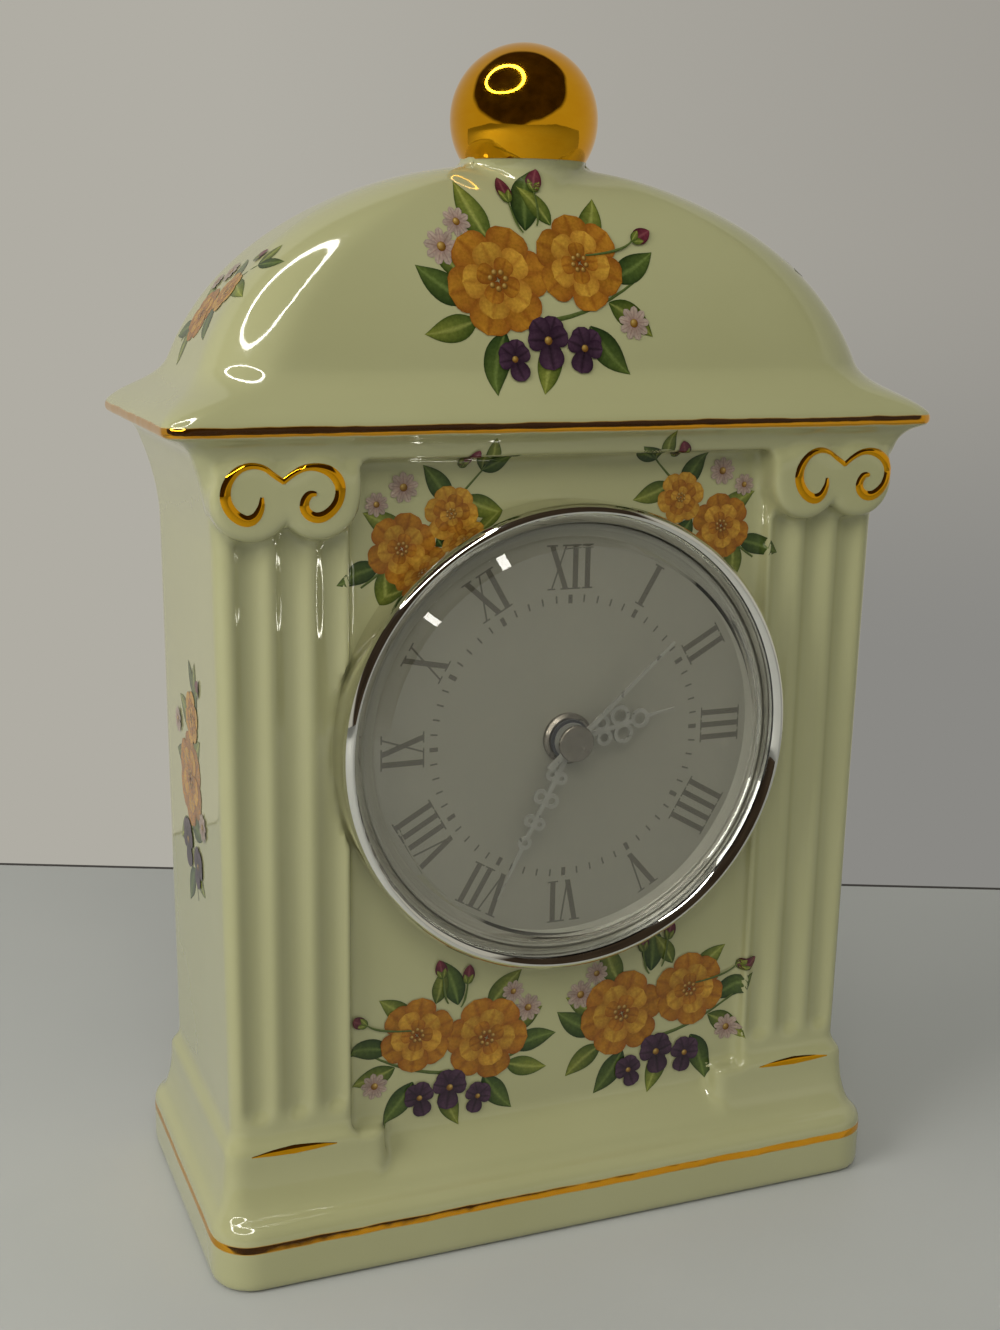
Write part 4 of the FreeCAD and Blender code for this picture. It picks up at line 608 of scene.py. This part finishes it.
gold_tints = (srgb("#ECAC24"), srgb("#DA9616"))
for word, middle, high in SCROLL_PLACES:
    page = new_page()
    stroke(page, smooth_path(OPEN_CURL), OPEN_WIDTHS, gold_tints, crown=True)
    stroke(page, smooth_path(TIGHT_CURL), TIGHT_WIDTHS, gold_tints, crown=True)
    centre = (middle, FRONT_START, high)
    lay_on_porcelain("gilded_scroll_" + word, page, centre, ACROSS_FRONT, STRAIGHT_UP, gilding, crown_mm=0.35)
    page = new_page()
    path = [(STROKE_LONG / 2 - STROKE_LONG * step / STEPS, STROKE_BOW * math.sin(step / STEPS * math.pi))
            for step in range(STEPS + 1)]
    stroke(page, path, (0.2, 1.1, 1.6, 1.1, 0.2), gold_tints, crown=True)
    centre = (math.copysign(PEDESTAL_OUT, middle), PEDESTAL_START, PEDESTAL_HIGH)
    lay_on_porcelain("gilded_pedestal_" + word, page, centre, ACROSS_FRONT, PEDESTAL_UP, gilding,
                     crown_mm=0.05)

# %% [markdown]
# ### Flowers
# The painted flowers are plain garden ones: golden open roses, plum-coloured violets, pale pink daisies,
# wine-red buds and green leaves. A petal and a leaf are the same drawing, a blade with a widest place and a
# tip that is round or pointed. The painter's light and shade come from the colours at its root, tip and
# edges.

# %% A blade: petal or leaf
def tones(*hex_texts):
    """The colours of a petal or leaf: at its root, tip, edges and middle vein."""
    return [srgb(text) for text in hex_texts]


LEAF = tones("#384B1C", "#7A8034", "#24380F", "#94984E")
DEEP_LEAF = tones("#243A18", "#54642A", "#162810", "#6A7A3C")
GOLDEN = tones("#5C2C0A", "#A8741E", "#7E4414", "#743A10")
PALE_GOLDEN = tones("#7C4A12", "#BC9030", "#94611E", "#8C561A")
VIOLET = tones("#1A1018", "#4A3244", "#2A1828", "#120A10")
PINK = tones("#7C5850", "#A89A88", "#8E7870", "#7E5E58")
WINE = tones("#2E1016", "#6C2C38", "#3E1820", "#7E4A4C")
GREEN_STEM = tones("#3A4A20", "#5E6A36")
BLADE_COLUMNS = (-1.0, -0.75, -0.5, -0.25, 0.0, 0.25, 0.5, 0.75, 1.0)


def blade(page, root, heading, long, wide, colours, peak=0.62, sharp=0.5, bend=0.0, lines=13):
    """A petal or leaf from its root. Heading and bend are in degrees."""
    root_tint, tip_tint, edge_tint, vein_tint = colours
    warm = random.uniform(-0.12, 0.12)
    x, y = root
    rows, tints = [], []
    for step in range(lines):
        t = step / (lines - 1)
        if t < peak:
            half = wide / 2 * math.sin(math.pi / 2 * max(t / peak, 0.02) ** 0.8)
        else:
            half = wide / 2 * max(1 - ((t - peak) / (1 - peak)) ** 2, 0.0) ** sharp
        turn = math.radians(heading + bend * t)
        if step:
            x += math.cos(turn) * long / (lines - 1)
            y += math.sin(turn) * long / (lines - 1)
        side = (-math.sin(turn), math.cos(turn))
        row, line = [], []
        for j in BLADE_COLUMNS:
            row.append((x + side[0] * half * j, y + side[1] * half * j))
            tint = blend_tint(root_tint, tip_tint, min(t * 1.15, 1) ** 0.8)
            tint = blend_tint(tint, edge_tint, abs(j) ** 2.5 * 0.7 + (0.16 if j > 0 else 0))
            if j == 0:
                tint = blend_tint(tint, vein_tint, 0.65)
            elif step % 2:
                tint = blend_tint(tint, edge_tint, 0.16)
            line.append(tuple(max(c * (1 + warm), 0) for c in tint[:3]) + (1.0,))
        rows.append(row)
        tints.append(line)
    add_patch(page, rows, tints)


def bead(page, at, radius, colours):
    """A round dot with a light side, for a flower's eye."""
    dark, light, edge, glint = colours
    rings, spokes = 4, 12
    rows, tints = [], []
    for ring in range(rings + 1):
        reach = radius * ring / rings
        row, line = [], []
        for spoke in range(spokes + 1):
            turn = 2 * math.pi * spoke / spokes
            u, v = reach * math.cos(turn), reach * math.sin(turn)
            row.append((at[0] + u, at[1] + v))
            lit = math.hypot(u / radius + 0.35, v / radius - 0.4)
            tint = blend_tint(light, dark, min(lit / 1.1, 1))
            tint = blend_tint(glint, tint, min(lit / 0.3, 1)) if lit < 0.3 else tint
            line.append(blend_tint(tint, edge, 0.5 if ring == rings else 0))
        rows.append(row)
        tints.append(line)
    add_patch(page, rows, tints)


# %% Whole flowers
EYE = tones("#6A4616", "#B8964A", "#4E3012", "#C8B276")
STEM_STEPS = 14


def open_rose(page, at, radius, turn=0.0, colours=GOLDEN, inner=PALE_GOLDEN):
    """An open flower of three rings of round petals."""
    for ring, (count, reach, size, tint) in enumerate(((6, 0.30, 0.78, colours), (5, 0.16, 0.56, inner),
                                                       (4, 0.06, 0.36, colours))):
        for petal in range(count):
            heading = turn + 360 * petal / count + 27 * ring + random.uniform(-5, 5)
            root = (at[0] + radius * reach * 0.4 * math.cos(math.radians(heading)),
                    at[1] + radius * reach * 0.4 * math.sin(math.radians(heading)))
            blade(page, root, heading, radius * size * 1.12, radius * size * 1.05, tint, peak=0.66)
    for dot in range(7):
        turn_by = math.radians(dot * 51 + turn)
        bead(page, (at[0] + radius * 0.15 * math.cos(turn_by), at[1] + radius * 0.15 * math.sin(turn_by)),
             radius * 0.055, EYE)


def violet(page, at, radius, turn=0.0):
    """Five plum petals, two above and three below."""
    for heading, size in ((60, 0.95), (120, 0.95), (10, 0.85), (170, 0.85), (270, 1.1)):
        blade(page, at, turn + heading, radius * size, radius * 0.95 * size, VIOLET)
    bead(page, at, radius * 0.16, EYE)


def daisy(page, at, radius, turn=0.0):
    """Nine narrow pink petals round an eye."""
    for petal in range(9):
        blade(page, at, turn + 360 * petal / 9, radius, radius * 0.46, PINK, peak=0.7, lines=9)
    bead(page, at, radius * 0.26, EYE)


def bud(page, at, heading, size):
    """A closed wine-red bud between two small leaves."""
    blade(page, at, heading, size, size * 0.62, WINE, peak=0.45, sharp=0.8)
    for aside in (-24, 24):
        blade(page, at, heading + aside, size * 0.55, size * 0.3, LEAF, peak=0.4, sharp=1.0)


def leaf(page, root, heading, long, deep=False, bend=18.0):
    """A pointed leaf that bends to one side."""
    colours = DEEP_LEAF if deep else LEAF
    blade(page, root, heading, long, long * 0.46, colours, peak=0.42, sharp=1.15, bend=bend)


def stem(page, k, start, pull, stop, widths):
    """A thin green stem from start to stop that leans towards pull, at k times its drawn size."""
    path = [tuple(((1 - t) ** 2 * a + 2 * t * (1 - t) * b + t * t * c) * k
                  for a, b, c in zip(start, pull, stop))
            for t in (step / STEM_STEPS for step in range(STEM_STEPS + 1))]
    stroke(page, path, widths, GREEN_STEM)


print("flowers can be drawn")


# %% [markdown]
# ### Sprays
# There are three drawings: a wide garland for the dome and the foot of the panel, a small corner sprig for
# the top of the panel and the sides of the dome, and an upright spray for the side walls. Each is drawn in
# millimetres about its own middle and may be mirrored, so that the two sides of the clock answer each
# other.

# %% Garland
def garland(page, k):
    """A wide garland about 46 mm across at k = 1."""
    stem(page, k, (-19, -3), (0, -13), (19, 0), (0.4, 0.9 * k, 0.4))
    for x, y, heading, long, deep in (
            (-13, -4, 158, 11, True), (-12, -7, 205, 10, False), (-7, -9, 244, 11, True),
            (2, -10, 262, 10, False), (9, -8, 300, 11, True), (13, -4, 335, 10, False),
            (14, 0, 18, 10, True), (9, 5, 52, 10, False), (-1, 8, 82, 11, True),
            (-8, 6, 122, 11, False), (4, 9, 112, 8, False), (-14, 0, 132, 8, False)):
        leaf(page, (x * k, y * k), heading, long * k, deep, bend=random.choice((-20, 20)))
    daisy(page, (-17 * k, 5 * k), 3.2 * k, 10)
    daisy(page, (-13.5 * k, 9.2 * k), 2.6 * k, 25)
    daisy(page, (17.5 * k, -7.5 * k), 3.0 * k, 5)
    open_rose(page, (-7.5 * k, -0.5 * k), 9.6 * k, 12)
    open_rose(page, (8.2 * k, 2.6 * k), 8.4 * k, 40)
    violet(page, (0.8 * k, -10.5 * k), 4.6 * k, 8)
    violet(page, (7.6 * k, -11.8 * k), 4.0 * k, -14)
    violet(page, (-5.6 * k, -13.6 * k), 3.6 * k, 20)
    for x, y, heading in ((-3, 12.5, 96), (2.5, 14.5, 78), (19, 6.5, 25)):
        stem(page, k, (x * 0.5, y * 0.6), (x * 0.9, y * 0.7), (x, y), (0.3, 0.5, 0.3))
        bud(page, (x * k, y * k), heading, 4.4 * k)


# %% Corner sprig and upright spray
def corner_sprig(page, k):
    """A small sprig about 25 mm across at k = 1, growing from the lower left to the upper right."""
    stem(page, k, (-10, -9), (-1, -3), (10, 9), (0.4, 0.8, 0.3))
    for x, y, heading, long, deep in (
            (-7, -6, 188, 7.5, True), (-6, -6, 262, 7.5, False), (-3, -2, 138, 8, False),
            (2, -2, 300, 8, True), (4, 3, 116, 7.5, True), (6, 4, 330, 7.5, False),
            (9, 8, 80, 5.5, False), (9, 8, 20, 5.5, True)):
        leaf(page, (x * k, y * k), heading, long * k, deep)
    open_rose(page, (-3.6 * k, -3.4 * k), 5.6 * k, 20)
    open_rose(page, (4.2 * k, 1.6 * k), 4.4 * k, 50, PALE_GOLDEN, GOLDEN)
    daisy(page, (-3.4 * k, 5.8 * k), 2.4 * k, 12)
    daisy(page, (-7.6 * k, 3.4 * k), 1.9 * k, 30)
    bud(page, (5.5 * k, 8.5 * k), 65, 3.4 * k)


def upright_spray(page, k):
    """A tall spray about 42 mm high at k = 1."""
    stem(page, k, (2, -20), (-6, 0), (3, 19), (0.4, 0.9, 0.3))
    for x, y, heading, long, deep in (
            (0, -15, 225, 9, True), (0, -13, 320, 9, False), (-2, -8, 196, 10, False),
            (-2, -6, 345, 10, True), (-2, 2, 160, 10, True), (-1, 4, 25, 10, False),
            (0, 10, 140, 9, False), (1, 11, 48, 9, True), (3, 17, 110, 6, True), (3, 17, 62, 6, False)):
        leaf(page, (x * k, y * k), heading, long * k, deep)
    open_rose(page, (-1 * k, 1 * k), 8.6 * k, 30)
    open_rose(page, (1.5 * k, 12.5 * k), 4.8 * k, 15, PALE_GOLDEN, GOLDEN)
    violet(page, (-4.5 * k, -11 * k), 4.4 * k, 12)
    violet(page, (3.2 * k, -13.5 * k), 3.8 * k, -16)
    daisy(page, (8 * k, -5 * k), 2.6 * k, 10)
    daisy(page, (-9.5 * k, 9.5 * k), 2.4 * k, 20)
    bud(page, (6 * k, 17 * k), 60, 3.8 * k)


print("drawings:", [drawing.__name__ for drawing in (garland, corner_sprig, upright_spray)])

# %% [markdown]
# ### Enamel
# Overglaze enamel melts into the glaze, so the flowers shine like the porcelain around them, a little less
# evenly. The colour is the one stored at each point, broken up by a very fine stipple as a printed transfer
# shows.

# %% Enamel
enamel, tree, shader, place = new_material("overglaze_enamel", "#FFFFFF", {"IOR": 1.45})
paint = add_node(tree, "ShaderNodeAttribute", {"attribute_name": "paint"}).outputs["Color"]
stipple = noise_in(tree, place, 0.5)
uneven = add_node(tree, "ShaderNodeVectorMath", {"operation": "SCALE"}, {
    0: paint, "Scale": spread(tree, stipple, 0.82, 1.12)}).outputs[0]
plug_in(tree, shader, {"Base Color": uneven, "Roughness": spread(tree, stipple, 0.14, 0.24)})
print("enamel ready")

# %% Painted places
PLACES = (
    ("dome_front", garland, 1.04, (-5.5, FRONT_START, 183.5), ACROSS_FRONT, STRAIGHT_UP, 1, 3),
    ("foot_left", garland, 0.92, (-20.9, FRONT_START, 38.8), ACROSS_FRONT, STRAIGHT_UP, -1, 5),
    ("foot_right", garland, 0.97, (22.6, FRONT_START, 39.5), ACROSS_FRONT, STRAIGHT_UP, 1, 8),
    ("head_left", corner_sprig, 1.2, (-27.5, FRONT_START, 140.0), ACROSS_FRONT, STRAIGHT_UP, 1, 11),
    ("head_right", corner_sprig, 1.15, (28.8, FRONT_START, 141.5), ACROSS_FRONT, STRAIGHT_UP, -1, 13),
    ("wall_left", upright_spray, 1.12, (-SIDE_START, 0.0, 88), (0, -1, 0), STRAIGHT_UP, 1, 17),
    ("wall_right", upright_spray, 1.12, (SIDE_START, 0.0, 88), (0, 1, 0), STRAIGHT_UP, -1, 17),
    ("dome_left", corner_sprig, 1.0, (-SIDE_START, -2.6, 227), (0, -1, 0), (0.62, 0, 0.78), 1, 19),
    ("dome_right", corner_sprig, 1.0, (SIDE_START, -2.6, 227), (0, 1, 0), (-0.62, 0, 0.78), -1, 19),
)
for word, drawing, size, centre, across, up, mirror, seed in PLACES:
    random.seed(seed)
    page = new_page()
    drawing(page, size)
    page["points"] = [(u * mirror, v, layer) for u, v, layer in page["points"]]
    lay_on_porcelain("flowers_" + word, page, centre, across, up, enamel)

# %% [markdown]
# ## Bezel and glass
# The bezel is spun brass plated with chromium, which mirrors everything. Two bowed slopes meet in a soft
# crest, the inner one falling to the bevelled glass. A mirror shows the flats of a coarse mesh, so it is
# turned again here with many more steps.


# %% Chromed bezel
def bow(start, stop, radius, steps=20):
    """Points on an arc from start to stop, without the start."""
    chord = Vector(stop) - Vector(start)
    normal = Vector((chord.y, -chord.x)).normalized()
    centre = (Vector(start) + Vector(stop)) / 2 + normal * math.sqrt(radius ** 2 - (chord.length / 2) ** 2)
    first = math.atan2(start[1] - centre.y, start[0] - centre.x)
    last = math.atan2(stop[1] - centre.y, stop[0] - centre.x)
    sweep = (last - first + math.pi) % (2 * math.pi) - math.pi
    return [(centre.x + radius * math.cos(first + sweep * step / steps),
             centre.y + radius * math.sin(first + sweep * step / steps)) for step in range(1, steps + 1)]


SEAT, FRONT, LIP_OUT, GLASS_EDGE = 23.5, 32.3, 29.7, 29.3
OUTER, BORE, LIP_RADIUS = 45.0, 42.1, 41.35
chrome = grained("chromium_plate", "#E6E5DE", {"Metallic": 1.0, "Roughness": 0.04},
                 6.0, ("#E1E0D9", "#EBEAE4"), (0.02, 0.06), 0.003)
profile = [(SEAT, BORE), (SEAT, OUTER - 0.15), (SEAT + 0.15, OUTER), (FRONT - 1.75, OUTER)]
for stop, bend_radius in (((FRONT - 0.1, OUTER - 1.2), 2.6), ((FRONT - 0.12, OUTER - 1.7), 0.4),
                          ((LIP_OUT, LIP_RADIUS), 6.0)):
    profile += bow(profile[-1], stop, bend_radius)
profile += [(GLASS_EDGE + 0.1, LIP_RADIUS - 0.02), (GLASS_EDGE + 0.02, LIP_RADIUS + 0.03),
            (GLASS_EDGE + 0.02, BORE), (SEAT, BORE)]
bezel = turned("chromed_bezel", profile, (0, -1, 0), chrome, steps=256)
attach(bezel, "insert")
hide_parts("bezel")
print("bezel radius", round(max(abs(v.co.x) for v in bezel.data.vertices) / MM, 2))

# %% [markdown]
# ### Glass
# The pane is thin and hardly bends what lies behind it, so its bulk gets a low IOR. A coat with the IOR of
# glass gives it its reflections. It casts no shadow, because a renderer would darken the dial behind it too
# much.

# %% Glass
glass, tree, shader, place = new_material("float_glass", "#FFFFFF", {
    "Transmission Weight": 1.0, "Roughness": 0.0, "IOR": 1.08,
    "Coat Weight": 1.0, "Coat Roughness": 0.0, "Coat IOR": 1.5})
haze = noise_in(tree, place, 30.0)
plug_in(tree, shader, {"Base Color": mix_colours(tree, haze, "#F4F7F5", "#FCFDFC")})
dress(["lens"], glass)
nodes["lens"].visible_shadow = False
print("glass ready")

# %% [markdown]
# ## Dial
# The dial is card printed with a matt silver, inside a sloping ring of spun aluminium. Spinning leaves
# circles that are too fine to count. The noise that roughens the ring depends only on the distance from the
# axis, and its lines are drawn about 0.12 mm apart, as coarse as they need to be to show.

# %% Spun ring and silvered card
spun, tree, shader, place = new_material("spun_aluminium", "#7E7C70", {"Metallic": 0.2, "Roughness": 0.5})
centred = add_node(tree, "ShaderNodeMapping", {}, {
    "Vector": place, "Location": (0, 0, -AXIS_HIGH * MM), "Scale": (1, 0, 1)}).outputs[0]
reach = add_node(tree, "ShaderNodeVectorMath", {"operation": "LENGTH"}, {0: centred}).outputs["Value"]
LINE_MM = 0.12
circles = add_node(tree, "ShaderNodeTexNoise", {"noise_dimensions": "1D"}, {
    "W": reach, "Scale": 1 / (LINE_MM * MM), "Detail": 2.0}).outputs["Fac"]
plug_in(tree, shader, {"Base Color": mix_colours(tree, circles, "#7B786B", "#848173"),
                       "Roughness": spread(tree, circles, 0.45, 0.55),
                       "Normal": relief_from(tree, circles, 0.2, 0.001)})
dress(["dial_ring"], spun)

card_dial = grained("silvered_dial_card", "#787567", {"Metallic": 0.3, "Roughness": 0.5},
                    0.6, ("#737063", "#7D7A6C"), (0.42, 0.55), 0.004, stretch=(1, 1, 0.12))
dress(["dial"], card_dial)
print("dial dressed")

# %% [markdown]
# ### Numerals
# Roman numerals stand on the dial like spokes, tops outwards, with the classic thick and thin strokes. Each
# letter is drawn as a few bars with serifs in units of its height, then placed round the dial.

# %% Letters of the numerals
THICK, THIN, SERIF_HIGH, SERIF_HALF, SHORT_SERIF = 0.15, 0.05, 0.035, 0.15, 0.11


def bar(start, stop, wide):
    """A straight stroke with level ends."""
    return [(start[0] - wide / 2, start[1]), (start[0] + wide / 2, start[1]),
            (stop[0] + wide / 2, stop[1]), (stop[0] - wide / 2, stop[1])]


def serif(x, y, half=SERIF_HALF):
    """A short level line at the foot or the top of a letter."""
    low = y - SERIF_HIGH if y > 0.5 else y
    return [(x - half, low), (x + half, low), (x + half, low + SERIF_HIGH), (x - half, low + SERIF_HIGH)]


LETTERS = {
    "I": (0.34, [bar((0, 0), (0, 1), THICK), serif(0, 0), serif(0, 1)]),
    "V": (0.58, [bar((0.04, 0), (-0.19, 1), THICK), bar((0.04, 0), (0.22, 1), THIN),
                 serif(-0.19, 1), serif(0.22, 1, SHORT_SERIF)]),
    "X": (0.58, [bar((0.2, 0), (-0.2, 1), THICK), bar((-0.2, 0), (0.2, 1), THIN), serif(-0.2, 1),
                 serif(0.2, 1, SHORT_SERIF), serif(-0.2, 0, SHORT_SERIF), serif(0.2, 0)]),
}
HOURS = ("XII", "I", "II", "III", "IIII", "V", "VI", "VII", "VIII", "IX", "X", "XI")
LETTER_LOW, LETTER_HIGH, LETTER_WIDTH_SHARE = 28.5, 36.9, 0.86
TICK_LOW, TICK_HIGH, TICK_HALF = 26.1, 27.5, 0.17
HOUR_TICK_LOW, HOUR_TICK_HALF = 25.85, 0.42
print("letters:", " ".join(LETTERS))

# %% Print the dial
# Shapes that overlap lie a hair apart, so that no two faces share one plane.
INK_OUT, INK_STEP, INK_LEVELS = 26.93, 0.0004, 8
points, faces = [], []


def print_shape(corners, turn):
    """One flat shape on the dial. Corners are (across, distance from the centre), turned clockwise."""
    first = len(points)
    for across, out in corners:
        x = across * math.cos(turn) + out * math.sin(turn)
        z = -across * math.sin(turn) + out * math.cos(turn)
        points.append((x * MM, -(INK_OUT + INK_STEP * (len(faces) % INK_LEVELS)) * MM, (AXIS_HIGH + z) * MM))
    faces.append(tuple(range(first, first + 4)))


tall = LETTER_HIGH - LETTER_LOW
for hour, word in enumerate(HOURS):
    turn = math.radians(30 * hour)
    wide = sum(LETTERS[letter][0] for letter in word)
    at = -wide / 2
    for letter in word:
        advance, shapes = LETTERS[letter]
        for shape in shapes:
            print_shape([((at + advance / 2 + x) * tall * LETTER_WIDTH_SHARE, LETTER_LOW + y * tall)
                         for x, y in shape], turn)
        at += advance
for minute in range(60):
    low, half = (TICK_LOW, TICK_HALF) if minute % 5 else (HOUR_TICK_LOW, HOUR_TICK_HALF)
    print_shape([(-half, low), (half, low), (half, TICK_HIGH), (-half, TICK_HIGH)], math.radians(6 * minute))

ink = grained("printing_ink", "#403C2F", {"Roughness": 0.5},
              0.5, ("#3A362A", "#494537"), (0.42, 0.6), 0.004)
printing = make_piece("dial_print", points, faces, ink, smooth=False)
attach(printing, "insert")
print("printed shapes:", len(faces))

# %% [markdown]
# ## Hands and what holds them
# The hands are stamped from thin steel and nickel plated, so bright that they almost vanish against the
# silver dial. The nut and the cap are turned and polished, and mirror the darker room.

# %% Hands, nut and cap
nickel = grained("polished_nickel_plate", "#85837A", {"Metallic": 0.5, "Roughness": 0.32},
                 2.0, ("#7E7C72", "#8F8D84"), (0.27, 0.4), 0.003)
dress(["hour_hand", "minute_hand", "second_hand"], nickel)

turned_steel = grained("turned_steel", "#8F877B", {"Metallic": 1.0, "Roughness": 0.2},
                       1.5, ("#857C70", "#989085"), (0.14, 0.28), 0.004)
dress(["dial_nut", "second_hand_cap"], turned_steel)
print("hands dressed")

# %% [markdown]
# ## Movement
# A quartz movement is mostly moulded plastic: a black ABS case whose faces were spark-eroded to a fine
# grain, and wheels of white acetal, which is naturally slippery and slightly waxy. The motor is a copper
# coil on a steel frame with a small magnet. All of it is behind the dial, but it shows through the hole in
# the back and when the insert is pulled out. The rubber is matt and the ferrite as dull as dark stone.
# Rolled steel and the crystal's drawn can carry fine lines along one way. The board shines through its
# green lacquer, and the battery's sleeve is smooth plastic over metal. The coil's wire is finer than a
# render shows, so its turns are drawn six times as coarse.

# %% Plastics and rubber
abs_black = grained("moulded_black_abs", "#1E1E20", {"Roughness": 0.5, "IOR": 1.53},
                    0.35, ("#19191B", "#26262A"), (0.42, 0.6), 0.02)
dress(["movement_front_case", "movement_back_cover", "insert_cup", "set_knob", "coil_bobbin"], abs_black)

acetal = grained("moulded_acetal", "#E6E3D8", {"Roughness": 0.38, "IOR": 1.48},
                 1.2, ("#DEDBCF", "#EDEAE1"), (0.32, 0.46), 0.01)
dress(["train_bridge", "fifth_wheel", "seconds_wheel", "third_wheel", "centre_wheel", "cannon_pinion",
       "motion_wheel", "hour_wheel", "rotor_pinion"], acetal)

rubber = grained("moulded_rubber", "#1B1A19", {"Roughness": 0.75, "IOR": 1.52},
                 0.5, ("#161514", "#242221"), (0.68, 0.85), 0.02)
dress(["grip_ring"], rubber)
print("plastics ready")

# %% Metals, board and battery
steel = grained("rolled_steel", "#A5A39E", {"Metallic": 1.0, "Roughness": 0.35},
                0.4, ("#98968F", "#B3B1AC"), (0.28, 0.45), 0.006, stretch=(0.1, 1, 1))
dress(["stator", "positive_contact", "negative_contact"], steel)

WIRE_MM = 0.25
copper = grained("enamelled_copper_wire", "#B0602F", {"Metallic": 1.0, "Roughness": 0.28},
                 WIRE_MM * 6, ("#9A4F24", "#C97A44"), (0.2, 0.38), 0.03, stretch=(6, 1, 1))
dress(["coil_winding"], copper)

ferrite = grained("sintered_ferrite", "#2A2A2B", {"Roughness": 0.6},
                  0.3, ("#232324", "#363637"), (0.5, 0.7), 0.01)
dress(["rotor_magnet"], ferrite)

can = grained("drawn_nickel_silver", "#B4B2AB", {"Metallic": 1.0, "Roughness": 0.25},
              0.5, ("#A9A7A0", "#BFBDB7"), (0.2, 0.32), 0.004, stretch=(0.1, 1, 1))
dress(["quartz_crystal"], can)

board = grained("green_solder_mask", "#1F5A31", {"Roughness": 0.35, "IOR": 1.5},
                2.5, ("#1A4E2A", "#27683A"), (0.28, 0.42), 0.01)
dress(["circuit_board"], board)

sleeve = grained("shrunk_battery_sleeve", "#3A4048", {"Metallic": 0.4, "Roughness": 0.3},
                 4.0, ("#333941", "#444B54"), (0.24, 0.36), 0.01)
dress(["battery"], sleeve)
print("movement dressed")
